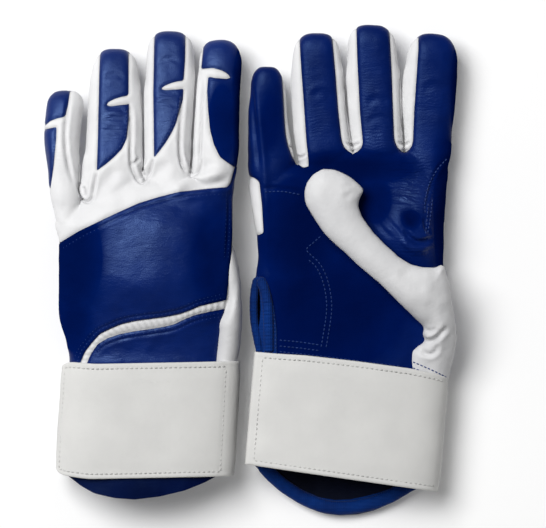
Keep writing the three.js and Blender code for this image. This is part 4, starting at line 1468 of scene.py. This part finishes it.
    def _room(self) -> Array:
        """How thick the leather can be at each point, so that it doesn't come through a thin fold.

        Returns:
            n thicknesses.
        """
        room = np.full(len(self.kept), LEATHER)
        for i, (at, normal) in enumerate(zip(self.kept.tolist(), self.out.tolist())):
            inward = -Vector(normal)
            away = self.tree.ray_cast(Vector(at) + inward * self.ROOM_FROM * MM, inward, 3 * LEATHER)[3]
            if away is not None:
                room[i] = min(LEATHER, self.ROOM_SHARE * away)
        return room

    def _patchy(self, spots: Sequence[Patch]) -> Array:
        """A value at each point, from soft patches.

        Args:
            spots: column, row, reach across and along, strength.
        Returns:
            n values from 0.
        """
        value = np.zeros(len(self.kept))
        for x, y, wide, long, strength in spots:
            value = np.maximum(value, strength * np.exp(-self._away(self.kept, x, y, wide, long) ** 1.5))
        return value

    def traced(self, line: Pixels, upward: bool) -> Array:
        """A line of pixels laid on the surface.

        Args:
            line: pixels along the line.
            upward: whether it lies on the upper face.
        Returns:
            n by 6: points and surface normals.
        """
        length = np.sum(np.linalg.norm(np.diff(place(line), axis=0), axis=1))
        spots = flowing(place(line), max(6, int(length / self.LAID_STEP)))
        start, way = (self.FROM_ABOVE, -1) if upward else (self.FROM_BELOW, 1)
        laid = []
        for x, y in spots:
            hit, normal, _, _ = self.tree.ray_cast(Vector((x, y, start)), Vector((0, 0, way)))
            if hit is not None:
                laid.append([*hit, *normal])
        return np.array(laid).reshape(-1, 6)


@dataclass
class Workshop:
    """Makes pieces from surfaces and keeps their names."""

    palette: Palette
    pieces: list[str] = field(default_factory=list)
    # A stitch from end to end: place along it in lengths, then thickness and lift in radii.
    STITCH = ((-0.5, 0.25, -0.55), (-0.36, 0.85, 0.1), (0, 1.1, 0.35), (0.36, 0.85, 0.1), (0.5, 0.25, -0.55))

    def shell(self, name: str, skin: Skin, label: str, finish: Finish, lift: float = 0.0) -> Piece | None:
        """A leather panel: the faces with a label, given a thickness inward.

        Args:
            name: piece name.
            skin: the sewn surface.
            label: which panel it is.
            finish: outer finish; knit has no lining.
            lift: how far it stands proud, in mm.
        Returns:
            The piece, or None where no face has the label.
        """
        polys = [poly for poly, on in zip(skin.polys, skin.labels) if on == label]
        if not polys:
            return None
        used, faces = compact(polys)
        n = len(used)
        inward, rim = lined(faces, n)
        points, facing = skin.kept[used], skin.out[used]
        both = np.vstack([points + facing * (lift * MM), points - facing * skin.room[used][:, None]])
        mesh = bpy.data.meshes.new(name)
        mesh.from_pydata(both.tolist(), [], faces + inward + rim)
        for key, value in (("seam", skin.seam), ("crinkle", skin.fine), ("worn", skin.worn)):
            layer = mesh.attributes.new(key, "FLOAT", "POINT")
            layer.data.foreach_set("value", np.tile(value[used], 2).astype(np.float32))
        for side in (finish, finish if finish is KNIT else LINING):
            mesh.materials.append(self.palette.material(side))
        slots = np.repeat([0, 1, 0], [len(faces), len(inward), len(rim)]).astype(np.int32)
        mesh.polygons.foreach_set("material_index", slots)
        mesh.polygons.foreach_set("use_smooth", np.ones(len(slots), bool))
        mesh.update()
        flat = np.array([poly.normal[:] for poly in mesh.polygons[len(faces) + len(inward):]]).reshape(-1, 3)
        outer, inner = facing[np.concatenate(faces)], -facing[np.concatenate(inward) - n]
        mesh.normals_split_custom_set(np.vstack([outer, inner, flat.repeat(4, axis=0)]).tolist())
        return self._finished(name, mesh)

    def _finished(self, name: str, mesh: bpy.types.Mesh) -> Piece:
        """Links a finished mesh as a piece and keeps its name.

        Args:
            name: piece name.
            mesh: its mesh.
        Returns:
            The piece.
        """
        obj = bpy.data.objects.new(name, mesh)
        bpy.context.scene.collection.objects.link(obj)
        self.pieces.append(name)
        return obj

    def solid(self, name: str, points: Array, faces: list[list[int]], finish: Finish) -> Piece:
        """A smooth piece from points and faces.

        Args:
            name: piece name.
            points: n by 3 array.
            faces: point numbers of each face.
            finish: its finish.
        Returns:
            The piece.
        """
        mesh = bpy.data.meshes.new(name)
        mesh.from_pydata(points.tolist(), [], faces)
        mesh.polygons.foreach_set("use_smooth", np.ones(len(faces), bool))
        mesh.materials.append(self.palette.material(finish))
        mesh.update()
        return self._finished(name, mesh)

    def stitches(self, name: str, rows: Sequence[Array], finish: Finish, pitch: float = 2.1 * MM,
                 length: float = 1.55 * MM, radius: float = 0.31 * MM) -> Piece | None:
        """Rows of thread stitches.

        Args:
            name: piece name.
            rows: each n by 6, a line of points with their surface normals.
            finish: thread finish.
            pitch: stitch spacing.
            length: stitch length.
            radius: thread radius.
        Returns:
            The piece, or None without rows.
        """
        points, faces = [], []
        turn = circle(6)[:, None]
        for row in rows:
            if len(row) < 2:
                continue
            run = run_of(row[:, :3])
            at = np.arange(pitch / 2, run[-1] - length / 2, pitch)
            ahead, behind = (sampled(row[:, :3], run, at + reach) for reach in (length / 2, -length / 2))
            for co, along in zip(sampled(row, run, at), unit(ahead - behind)):
                up = unit(co[3:] - along * (co[3:] @ along))
                side = np.cross(along, up)
                rings = [co[:3] + along * (t * length) + up * (lift * radius)
                         + radius * r * (np.cos(turn) * side + np.sin(turn) * up)
                         for t, r, lift in self.STITCH]
                verts, tube = lofted(np.array(rings))
                faces.extend([k + len(points) * len(verts) for k in face] for face in tube)
                points.append(verts)
        return self.solid(name, np.vstack(points), faces, finish) if points else None


# One glove


@dataclass
class Glove:
    """Builds one glove's pieces from its plan."""

    plan: GlovePlan
    shop: Workshop
    HAND_PIECES = (
        ("palm", PALM, 0.0), ("knuckle_panel", WHITE, 0.0), ("back_panel", BLUE, 0.35),
        ("back_stripe", WHITE, 0.0), ("wrist_panel", BLUE, 0.35), ("vent_binding", KNIT, 0.3),
        ("cuff", CUFF, 0.0), ("cuff_hem", KNIT, 0.0), ("thumb_seat", WHITE, 0.0),
    )
    STANDS_FOR = {"cuff_hem": "cuff", "thumb_seat": "thumb_base"}
    FINGER_PIECES = (("front", PALM), ("back_tip", FINGER), ("back_base", FINGER), ("sides", WHITE))
    # Strips down a finger: shares of its half width, then pixels past its tip and short of its hinge.
    sides_wide: float = 1.16
    front_wide: float = 0.74
    tip_strip_wide: float = 0.72
    base_strip_wide: float = 0.7
    sides_past: int = 12
    strip_past: int = 10
    base_short: int = 12
    # A hidden finger back's notch: pixels from the tip, and its gap.
    notch_from: int = 50
    notch_gap: int = 9
    # How square the sections are, and how many sides they have.
    hand_power: float = 2.5
    finger_power: float = 2.35
    tip_power: float = 2.3
    hand_sides: int = 72
    finger_sides: int = 40
    roll_sides: int = 24
    # A fingertip's width, height and slimness at its very end.
    tip_wide: float = 0.25
    tip_tall: float = 0.2
    tip_slim: float = 0.9
    # How much of a finger's height and width is lost inside the hand.
    foot_low: float = 0.25
    foot_slim: float = 0.2
    # Unevenness, coarse and fine, and seam depth, in mm.
    hand_ruffle: tuple[float, ...] = (0.42, 0.15)
    thumb_ruffle: tuple[float, ...] = (0.4, 0.1)
    hand_seam: float = 0.4
    thumb_seam: float = 0.35
    spine_reach: float = 6 * MM
    # The cuff's roll: how deep it lies, its half width and half height, in mm; the vent's rolls stand proud.
    cuff_roll_sink: float = 2.8
    cuff_roll: tuple[float, ...] = (3.5, 2.4)
    vent_roll_sink: float = -0.3
    vent_roll_tall: float = 0.9
    roll_steps: int = 110
    # A roll's plumpness: share and rate of two waves along it; how slim its ends are, over how many steps.
    roll_waves: tuple[tuple[float, ...], ...] = ((0.05, 1.1), (0.04, 0.43))
    roll_end: float = 0.35
    roll_end_steps: int = 8
    # Distances from a hinge: along a finger past it, and before and after the thumb's, in mm.
    finger_bend: float = 22 * MM
    thumb_bend: tuple[float, ...] = (8, 10)

    def __post_init__(self) -> None:
        """Takes the height of the middle layer from the plan."""
        self.middle = self.plan.lie.middle

    def build(self) -> None:
        """Makes every piece of the glove."""
        self._hand()
        self._thumb()
        Strap(self.plan, self.shop).build()

    def node(self, part: str) -> str:
        """The CAD node's name for a part of this glove."""
        return f"{self.plan.side}_{part}"

    # Hand and fingers

    def _across(self, row: float, left: float, right: float) -> tuple[Array, float]:
        """Middle point and half width between two edges of a photo row."""
        (x0, y), (x1, _) = place([(left, row), (right, row)])
        return np.array([(x0 + x1) / 2, y, float(self.middle(y))]), (x1 - x0) / 2

    def _hand_solid(self) -> Solid:
        """A soft tube through the hand's measured rows.

        Returns:
            Points and faces.
        """
        rings = []
        for row, left, right, up, down in flowing(np.array(self.plan.hand), 150):
            rings.append(soft_ring(*self._across(row, left, right), up * MM, down * MM,
                                   self.hand_power, self.hand_sides))
        return lofted(np.array(rings))

    def _finger_solid(self, finger: FingerPlan) -> Solid:
        """A tube with a blunt tip that grows slimmer where it runs into the hand.

        Args:
            finger: the finger's plan.
        Returns:
            Points and faces.
        """
        foot = finger.edges[-1][0]
        rows = np.concatenate([np.linspace(0.03, 1, 12) ** 2 * finger.blunt / PIXEL * MM + finger.tip,
                               np.linspace(finger.tip + finger.blunt * MM / PIXEL, foot, 70)[1:]])
        rings = []
        for row in rows:
            left, right = (edge.item() for edge in finger.span(np.array([row])))
            away = (row - finger.tip) * PIXEL / (finger.blunt * MM)
            round_off = (1 - (1 - min(1.0, away)) ** self.tip_power) ** (1 / self.tip_power)
            sink = float(smoothstep(row, finger.hinge, foot))
            centre, half = self._across(row, left, right)
            slim = self.tip_slim + (1 - self.tip_slim) * min(1.0, away / 4)
            tall = (self.tip_tall + (1 - self.tip_tall) * round_off) * slim * (1 - self.foot_low * sink)
            wide = (self.tip_wide + (1 - self.tip_wide) * round_off) * (1 - self.foot_slim * sink)
            rings.append(soft_ring(centre, half * wide, self.plan.finger_up * MM * tall,
                                   self.plan.finger_down * MM * tall, self.finger_power, self.finger_sides))
        return lofted(np.array(rings))

    def _finger_panels(self) -> list[Panel]:
        """Root cuts, then the panels on both faces of each finger.

        Returns:
            The panels, later ones over earlier ones.
        """
        fingers = self.plan.fingers
        panels = []
        for f in fingers:
            sides = f.strip(self.sides_wide, f.tip - self.sides_past, f.hinge)
            panels.append(Panel(f"{f.name}_sides", sides, Face.BOTH))
        for f in fingers:
            past, notch = f.tip - self.strip_past, f.tip + self.notch_from
            panels.extend(Panel(f"{f.name}_{part}", outline, Face.TOP) for part, outline in f.panels)
            hidden = [("front", self.front_wide, past, f.hinge)]
            if not self.plan.lie.back_up:
                base = (notch + self.notch_gap, f.hinge - self.base_short)
                hidden = [("back_tip", self.tip_strip_wide, past, notch),
                          ("back_base", self.base_strip_wide, *base)]
            panels.extend(Panel(f"{f.name}_{part}", f.strip(*strip), Face.BOTTOM) for part, *strip in hidden)
        return panels

    def _quiet(self, a: str, b: str) -> bool:
        """Whether two panels meet without a seam to see.

        Args:
            a: one panel's label.
            b: the other's.
        Returns:
            True where no seam shows.
        """
        pair, names = {a, b}, [f.name for f in self.plan.fingers]
        if "knuckle_panel" in pair and pair & {f"{name}_sides" for name in names}:
            return True
        if pair <= {"palm", *(f"{name}_front" for name in names)}:
            return True
        if any(pair == {f"{name}_back_tip", f"{name}_back_base"} for name in names):
            return True
        return pair in ({"cuff", "cuff_hem"}, {"palm", "cuff"}, {"index_back_base", "back_panel"})

    def _hand(self) -> None:
        """Shapes the hand with its fingers, sews it and cuts it into pieces."""
        plan = self.plan
        skin = Skin([self._hand_solid()] + [self._finger_solid(f) for f in plan.fingers],
                    lambda p: p[:, 2] - self.middle(p[:, 1]))
        skin.smooth(14)
        skin.draw_together(plan.gaps)
        skin.swell(plan.web)
        skin.ruffle(*self.hand_ruffle)
        skin.refine(plan.finer)
        skin.press(plan.creases, True)
        skin.smooth(4)
        rest = ("knuckle_panel", "palm") if plan.lie.back_up else ("palm", "knuckle_panel")
        skin.sew(self._finger_panels() + list(plan.panels), rest, self._quiet, self.hand_seam)
        skin.freeze(plan.creases, plan.crinkles, plan.worn)
        self._hand_pieces(skin)
        self._rows(skin)
        self._rolls(skin)

    def _hand_pieces(self, skin: Skin) -> None:
        """The leather panels: those of the hand ride on it, those of a finger stay where they lie.

        Args:
            skin: the sewn surface.
        """
        plan, shop = self.plan, self.shop
        for part, finish, lift in self.HAND_PIECES:
            piece = shop.shell(self.node(part) + "_sewn", skin, part, finish, lift)
            if piece is None:
                continue
            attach(piece, "hands")
            node = self.STANDS_FOR.get(part, part)
            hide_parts(self.node(node))
        for finger in plan.fingers:
            start, end = self._finger_zone(finger)
            for part, finish in self.FINGER_PIECES:
                name = f"{finger.name}_{part}"
                piece = shop.shell(self.node(name) + "_sewn", skin, name, finish)
                if piece is None:
                    continue
                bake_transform(piece)
                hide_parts(self.node(name))

    def _rolls(self, skin: Skin) -> None:
        """The soft rolled bindings: inside the longer lip of the cuff, and along both edges of the vent.

        Args:
            skin: the sewn surface.
        """
        up = self.plan.lie.back_up
        self._roll(skin, "cuff_roll", "cuff", self.plan.hem, up, self.cuff_roll_sink, self.cuff_roll)
        for name, line, half in self.plan.rolls:
            halves = (half, self.vent_roll_tall * half)
            self._roll(skin, name, "vent_binding", line, not up, self.vent_roll_sink, halves)

    def _roll(self, skin: Skin, name: str, part: str, line: Pixels, upward: bool, sink: float,
              halves: tuple[float, float]) -> None:
        """One padded tube of knit.

        Args:
            skin: the surface it lies on.
            name: piece name.
            part: the node that it stands for.
            line: pixels along it.
            upward: whether it lies on the upper face.
            sink: how far its middle lies under the surface, in mm.
            halves: half width and half height in mm.
        """
        laid = skin.traced(line, upward)
        path = flowing(laid[:, :3] - laid[:, 3:] * sink * MM, self.roll_steps)
        inward = -flowing(np.hstack([laid[:, :2], laid[:, 3:]]), self.roll_steps)[:, 2:]
        side = np.cross(unit(np.gradient(path, axis=0)), inward)
        turn = circle(self.roll_sides)[:, None]
        rings = []
        for k, (at, across, up) in enumerate(zip(path, side, inward)):
            plump = sum((share * math.sin(k * rate) for share, rate in self.roll_waves), 1.0)
            close = min(1.0, self.roll_end + min(k, len(path) - 1 - k) / self.roll_end_steps)
            rings.append(at + halves[0] * close * MM * np.cos(turn) * across
                         + halves[1] * close * MM * plump * np.sin(turn) * up)
        piece = self.shop.solid(self.node(name), *lofted(np.array(rings)), KNIT)
        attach(piece, "hands")
        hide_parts(self.node(part))

    def _finger_zone(self, finger: FingerPlan) -> Zone:
        """Two places on a finger's middle line: its root at the hinge row, and a bend's length on toward its
        tip.

        Args:
            finger: the finger's plan.
        Returns:
            The two places.
        """
        rows = np.array([finger.hinge, finger.tip + 30])
        left, right = finger.span(rows)
        root, ahead = place(np.column_stack([(left + right) / 2, rows]))
        z = float(self.middle(root[1]))
        return (*root, z), (*(root + unit(ahead - root) * self.finger_bend), z)

    def _rows(self, skin: Skin) -> None:
        """The stitch rows: those on the hand ride on it, those on a finger stay where they lie.

        Args:
            skin: the sewn surface.
        """
        def sewn(body: str) -> Piece | None:
            """The stitches on one body."""
            rows = [skin.traced(line, True) for on, line in self.plan.rows if on == body]
            return self.shop.stitches(self.node(f"{body}_stitching"), rows, BLUE_THREAD)

        piece = sewn("hands")
        if piece is not None:
            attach(piece, "hands")
        for finger in self.plan.fingers:
            piece = sewn(finger.name)
            if piece is not None:
                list(self._finger_zone(finger))
                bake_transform(piece)

    # Thumb

    def _thumb(self) -> None:
        """The folded thumb: a pillow over its spine, cut into its back and its front."""
        plan, shop = self.plan, self.shop
        thumb = plan.thumb
        spine = flowing(np.array(thumb.spine), 80)
        spots = place(spine[:, :2])

        def height(points: Array) -> tuple[Array, Array]:
            """Middle height and half height at plane points, from the spine near them.

            Args:
                points: n by 2 array.
            Returns:
                n heights and n half heights.
            """
            away = np.linalg.norm(points[:, None, :] - spots[None], axis=2) / self.spine_reach
            weight = bell(away - away.min(axis=1)[:, None])
            weight /= weight.sum(axis=1)[:, None]
            return weight @ spine[:, 2] * MM, weight @ spine[:, 3] * MM

        form = pillow(softened(place(thumb.outline)), height, thumb.edge * MM)
        skin = Skin([form], lambda p: p[:, 2] - height(p[:, :2])[0])
        skin.smooth(12)
        skin.ruffle(*self.thumb_ruffle)
        up = not plan.lie.back_up
        skin.press(thumb.creases, up)
        rest = ("thumb_back", "thumb_front") if up else ("thumb_front", "thumb_back")
        panels = [Panel("thumb_back", thumb.side_white, Face.TOP)] if thumb.side_white else []
        skin.sew(panels, rest, lambda a, b: False, self.thumb_seam)
        skin.freeze()
        for part, finish in (("thumb_back", THUMB), ("thumb_front", PALM)):
            piece = shop.shell(self.node(part) + "_sewn", skin, part, finish)
            if piece is None:
                continue
            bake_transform(piece)
            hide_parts(self.node(part))
        rows = [skin.traced(line, up) for line in thumb.rows]
        piece = shop.stitches(self.node("thumb_stitching"), rows, BLUE_THREAD)
        if piece is not None:
            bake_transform(piece)


@dataclass
class Strap:
    """The hook-and-loop wrist strap: one band of even thickness round the cuff."""

    plan: GlovePlan
    shop: Workshop
    thick: float = 2.2 * MM
    # How square its loop is, where its tail is cut off and where it ends.
    power: float = 3.3
    tail: float = math.radians(165)
    end: float = math.radians(196)
    # Its rounded edge, sewn hem, crown and wave, and places across it near an edge.
    round: float = 0.9 * MM
    edge_thin: float = 0.35
    hem: float = 2.6 * MM
    hem_wide: float = 0.5 * MM
    hem_deep: float = 0.1 * MM
    end_deep: float = 0.2 * MM
    crown: float = 0.3 * MM
    crown_full: float = 9 * MM
    wave: float = 0.35 * MM
    wave_scale: int = 45
    edge: tuple[float, ...] = (0, 0.12, 0.5, 1.2, 2.0, 2.6, 3.2, 4.2)
    edge_to: float = 5.5 * MM
    # In mm from its middle: how far the free end droops, where it lifts and where its corners tuck in.
    droop: float = 3.2
    lifts: tuple[float, ...] = (26, 46)
    tuck_from: float = 39.3
    tuck_reach: float = 5.5
    tuck_most: float = 0.995
    # Its thread: stitch spacing, length and radius.
    thread: tuple[float, ...] = (2.5 * MM, 1.75 * MM, 0.33 * MM)
    # Two distances on either side of the flap's hinge, in mm.
    bend: tuple[float, ...] = (2, 5)
    # The fastener: its place along the flap in mm, half length, half thickness and pile.
    fastener_from: int = -33
    fastener_to: int = -9
    fastener_half: float = 20.5 * MM
    fastener_thick: float = 0.45 * MM
    pile: float = 0.16
    FASTENERS = (("hook_patch", -1.6 * MM, "flap"), ("loop_patch", -2.6 * MM, "hands"))

    def __post_init__(self) -> None:
        """Works out the strap's own place and directions."""
        plan = self.plan
        self.strap = plan.strap
        turn = math.radians(plan.strap.turn)
        self.across = np.array([math.cos(turn), math.sin(turn), 0])
        self.along = np.array([-math.sin(turn), math.cos(turn), 0])
        self.up = np.array([0, 0, 1.0 if plan.lie.back_up else -1.0])
        self.centre = np.array([*place([plan.strap.centre])[0], plan.lie.base * MM])
        self.half = plan.strap.length * MM / 2

    def build(self) -> None:
        """Makes the strap, its stitching and its fasteners."""
        path = self._path()
        self._band(path)
        self._stitching(path)
        self._patches(path)

    def _path(self) -> Array:
        """The strap's middle line: across and height in mm, and angle, from the flap's free end on.

        Returns:
            n by 3 array.
        """
        strap, power = self.strap, self.power
        points = []
        for u in np.linspace(strap.free_end, 0, 300, endpoint=False):
            sag = self.droop * abs(u / strap.free_end) ** 3
            points.append((u, -(strap.flap_height - sag), -math.pi + 1e-3))
        for angle in np.linspace(-math.pi / 2, self.end, 1300):
            c, s = math.cos(angle), math.sin(angle)
            half = strap.half_width if c > 0 else strap.little_width
            tall = strap.band_height if s > 0 or angle > math.pi else strap.flap_height
            points.append((math.copysign(abs(c) ** (2 / power), c) * half,
                           math.copysign(abs(s) ** (2 / power), s) * tall, angle))
        line = np.array(points)
        run = run_of(line[:, :2])
        return sampled(line, run, np.linspace(0, run[-1], 190))

    def _grid(self, path: Array, spread: Array, offset: float) -> Array:
        """Points over a length of the path and a spread across the strap.

        Args:
            path: a part of the middle line.
            spread: places across the strap, from its middle.
            offset: how far outward from the middle line.
        Returns:
            Rows along the path by columns of the spread by 3.
        """
        tangent = unit(np.gradient(path[:, :2], axis=0))
        outward = np.column_stack([tangent[:, 1], -tangent[:, 0]])
        flat = (path[:, :2] + outward * offset / MM) * MM
        share = spread / self.half
        low, high = self.strap.end_lift
        lifted = smoothstep(-path[:, 0], *self.lifts)
        rise = lifted[:, None] * (low + (high - low) * (share + 1) / 2)[None, :] * MM
        tucked = np.clip((-path[:, 0] - self.tuck_from) / self.tuck_reach, 0, self.tuck_most)
        tuck = 1 - np.sqrt(1 - tucked ** 2)
        foot, head = self.strap.corners
        rise = rise + tuck[:, None] * (foot + (head - foot) * (share + 1) / 2)[None, :] * MM
        us, bows = np.array(self.strap.bow).T
        rise = rise + (np.interp(path[:, 0], us, bows)[:, None] * (share + 1)[None, :] / 2) * MM
        sway = self.strap.shear * MM * share
        rows = self.centre + flat[:, :1] * self.across + flat[:, 1:2] * self.up
        return (rows[:, None, :] + (spread[None, :] + rise)[:, :, None] * self.along
                + sway[None, :, None] * self.across)

    def _outward(self, path: Array, spread: Array) -> Array:
        """The strap's outward direction over the same points as a grid."""
        return (self._grid(path, spread, MM) - self._grid(path, spread, 0.0)) / MM

    def _band(self, path: Array) -> None:
        """The strap itself, with rounded edges, a sewn hem and a soft wave, in two lengths.

        Args:
            path: the middle line.
        """
        half = self.half
        inner = np.linspace(-half + self.edge_to, half - self.edge_to, 30)
        edge = np.array(self.edge) * MM
        spread = np.concatenate([-half + edge, inner, half - edge[::-1]])
        run = run_of(path[:, :2]) * MM
        near_side = np.minimum(spread + half, half - spread)
        near_end = np.minimum(run, run[-1] - run)
        d = np.minimum(near_side[None, :], near_end[:, None])
        round_off = dome(d / self.round)
        groove = self.hem_deep * bell((d - self.hem) / self.hem_wide)
        if self.plan.lie.back_up:
            end = bell((path[:, 0] - self.strap.stitch_to) / 0.6) * (path[:, 2] > 0)
            groove = np.maximum(groove, self.end_deep * end[:, None])
        crown = self.crown * smoothstep(d, self.hem, self.crown_full)
        middle, outward = self._grid(path, spread, 0.0), self._outward(path, spread)
        wave = np.array([[noise.noise(Vector(p) * self.wave_scale) for p in row] for row in middle.tolist()])
        wave = self.wave * wave * round_off
        lift = self.thick / 2 * (self.edge_thin + (1 - self.edge_thin) * round_off)
        outer = middle + outward * (lift - groove + crown + wave)[:, :, None]
        within = middle - outward * (lift - wave)[:, :, None]
        facing = np.cross(np.gradient(outer, axis=0), np.gradient(outer, axis=1))
        facing = unit(facing * np.sign((facing * outward).sum(axis=2))[:, :, None])
        cut = int(np.argmax(path[:, 2] > self.tail))
        side = self.plan.side
        band = self._layer(f"{side}_strap", outer[:cut + 1], within[:cut + 1], STRAP)
        self._run_on(band, cut, facing[cut])
        self._hang(band)
        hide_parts(f"{side}_strap_band", f"{side}_strap_flap")
        tail = self._layer(f"{side}_strap_tail", outer[cut:], within[cut:], STRAP)
        self._run_on(tail, 0, facing[cut])
        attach(tail, "hands")
        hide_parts(f"{side}_strap_band")

    def _layer(self, name: str, top: Array, low: Array, finish: Finish) -> Piece:
        """A closed sheet between two grids of points.

        Args:
            name: piece name.
            top: rows by columns by 3, its outer side.
            low: the same for its inner side.
            finish: its finish.
        Returns:
            The piece.
        """
        faces = quads(*top.shape[:2])
        inner, rim = lined(faces, top.shape[0] * top.shape[1])
        points = np.vstack([top.reshape(-1, 3), low.reshape(-1, 3)])
        piece = self.shop.solid(name, points, faces + inner + rim, finish)
        bm = bmesh.new()
        bm.from_mesh(piece.data)
        bmesh.ops.recalc_face_normals(bm, faces=bm.faces)
        bm.to_mesh(piece.data)
        bm.free()
        return piece

    @staticmethod
    def _run_on(piece: Piece, row: int, facing: Array) -> None:
        """Shades a cut row of a layer as if the sheet ran on past it.

        Args:
            piece: the layer.
            row: the cut row's number.
            facing: its normals.
        """
        cols = len(facing)
        count = len(piece.data.vertices) // 2
        given = np.zeros((2 * count, 3))
        given[row * cols:(row + 1) * cols] = facing
        given[count + row * cols:count + (row + 1) * cols] = -facing
        piece.data.normals_split_custom_set_from_vertices(given.tolist())

    def _hang(self, piece: Piece) -> None:
        """Bakes a piece's transform into its mesh; it is not hung on the flap.

        Args:
            piece: the piece.
        """
        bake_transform(piece)

    def _stitching(self, path: Array) -> None:
        """The rows of thread along the strap's edges, on the face that shows.

        Args:
            path: the middle line.
        """
        strap, back_up = self.strap, self.plan.lie.back_up
        inset = self.half - self.hem
        shown = path[:, 2] > 0 if back_up else path[:, 2] < 0
        part = path[shown & (path[:, 0] > strap.stitch_from) & (path[:, 0] < strap.stitch_to)]
        outward = self._outward(part, np.array([0.0]))[:, 0]

        def row(spread: float) -> Array:
            """A line of points and normals along the strap."""
            return np.hstack([self._grid(part, np.array([spread]), self.thick / 2)[:, 0], outward])

        def column(i: int) -> Array:
            """A line of points and normals across the strap."""
            points = self._grid(part, np.linspace(-inset, inset, 60), self.thick / 2)[i]
            return np.hstack([points, np.repeat(outward[i:i + 1], 60, axis=0)])

        rows = [row(inset), row(-inset), column(0)] + ([column(len(part) - 1)] if back_up else [])
        name = f"{self.plan.side}_strap_stitching"
        piece = self.shop.stitches(name, rows, WHITE_THREAD, *self.thread)
        if piece is not None:
            self._hang(piece)

    def _patches(self, path: Array) -> None:
        """The two halves of the fastener, under the flap.

        Args:
            path: the middle line.
        """
        at = path[:, 0]
        on_flap = (path[:, 2] < -math.pi / 2) & (at > self.fastener_from) & (at < self.fastener_to)
        fine = flowing(path[on_flap], 28)
        spread = np.linspace(-self.fastener_half, self.fastener_half, 46)
        for part, offset, body in self.FASTENERS:
            top, low = (self._grid(fine, spread, offset + side * self.fastener_thick) for side in (1, -1))
            rows, cols = top.shape[:2]
            bumps = np.add.outer(np.arange(rows) * 7, np.arange(cols) * 13) % 5 / 5
            pile = unit(top - low) * (bumps * self.pile * MM)[:, :, None]
            if part == "loop_patch":
                top = top + pile
            else:
                low = low - pile
            name = f"{self.plan.side}_{part}"
            piece = self._layer(f"{name}_pile", top, low, FASTENER)
            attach(piece, "hands" if body == "hands" else f"{self.plan.side}_flap")
            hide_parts(name)


# Studio


@dataclass
class Studio:
    """Pale floor, soft light from the upper left and a camera straight above."""

    floor_reach: int = 4
    paper: tuple[float, ...] = (0.98, 0.98, 0.98, 1)
    paper_glow: float = 0.1
    sky: float = 0.17
    key_place: tuple[float, ...] = (-1.5, 1.35, 3.2)
    key_size: float = 2.3
    key_power: float = 163.0
    lens: int = 500
    sensor: int = 36

    def build(self) -> None:
        """Sets up floor, lamp, world and camera."""
        bpy.context.scene.view_settings.view_transform = "Standard"
        self._floor()
        self._world()
        self._lamp()
        self._camera()

    def _floor(self) -> None:
        """White paper, which the camera sees a little brighter than it is lit."""
        mesh = bpy.data.meshes.new("floor")
        far = self.floor_reach
        mesh.from_pydata([(-far, -far, 0), (far, -far, 0), (far, far, 0), (-far, far, 0)], [], [(0, 1, 2, 3)])
        floor = bpy.data.objects.new("floor", mesh)
        bpy.context.scene.collection.objects.link(floor)
        paper = Nodes("floor_paper")
        paper.feed(paper.shader, {"Base Color": self.paper, "Roughness": 0.9, "Specular IOR Level": 0.0})
        rays = paper.tree.nodes.new("ShaderNodeLightPath")
        seen = rays.outputs["Is Camera Ray"]
        for kind in ("Is Glossy Ray", "Is Transmission Ray"):
            seen = paper.math("MAXIMUM", seen, rays.outputs[kind])
        both = paper.add("MixShader", "Shader", {
            "Fac": paper.math("MULTIPLY", seen, self.paper_glow),
            1: paper.shader.outputs["BSDF"],
            2: paper.add("Emission", "Emission"),
        })
        paper.feed(paper.tree.nodes["Material Output"], {"Surface": both})
        mesh.materials.append(paper.material)

    def _world(self) -> None:
        """Even, weak light from everywhere."""
        world = bpy.data.worlds.new("studio")
        bpy.context.scene.world = world
        world.use_nodes = True
        sky = world.node_tree.nodes["Background"]
        sky.inputs["Color"].default_value = (1, 1, 1, 1)
        sky.inputs["Strength"].default_value = self.sky

    def _lamp(self) -> None:
        """One large soft lamp to the upper left."""
        data = bpy.data.lights.new("key", "AREA")
        data.energy = self.key_power
        data.size = self.key_size
        lamp = bpy.data.objects.new("key", data)
        lamp.location = self.key_place
        lamp.rotation_euler = (-Vector(self.key_place)).to_track_quat("-Z", "Y").to_euler()
        bpy.context.scene.collection.objects.link(lamp)

    def _camera(self) -> None:
        """A long lens straight above, framed as the photograph is."""
        data = bpy.data.cameras.new("camera")
        data.sensor_width = self.sensor
        data.lens = self.lens
        data.clip_end = 20
        camera = bpy.data.objects.new("camera", data)
        reach = PHOTO_SIZE[0] * PIXEL * data.lens / data.sensor_width
        camera.location = (*place([PHOTO_CENTRE])[0], reach + 0.02)
        bpy.context.scene.collection.objects.link(camera)
        bpy.context.scene.camera = camera


def main() -> None:
    """Dresses both gloves, sets the studio and logs each piece."""
    logging.basicConfig(level=logging.INFO)
    shop = Workshop(Palette())
    for plan in (LEFT_PLAN, RIGHT_PLAN):
        Glove(plan, shop).build()
    Studio().build()
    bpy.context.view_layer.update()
    for name in shop.pieces:
        LOG.info("made %s", name)


if __name__ == "__main__":
    main()
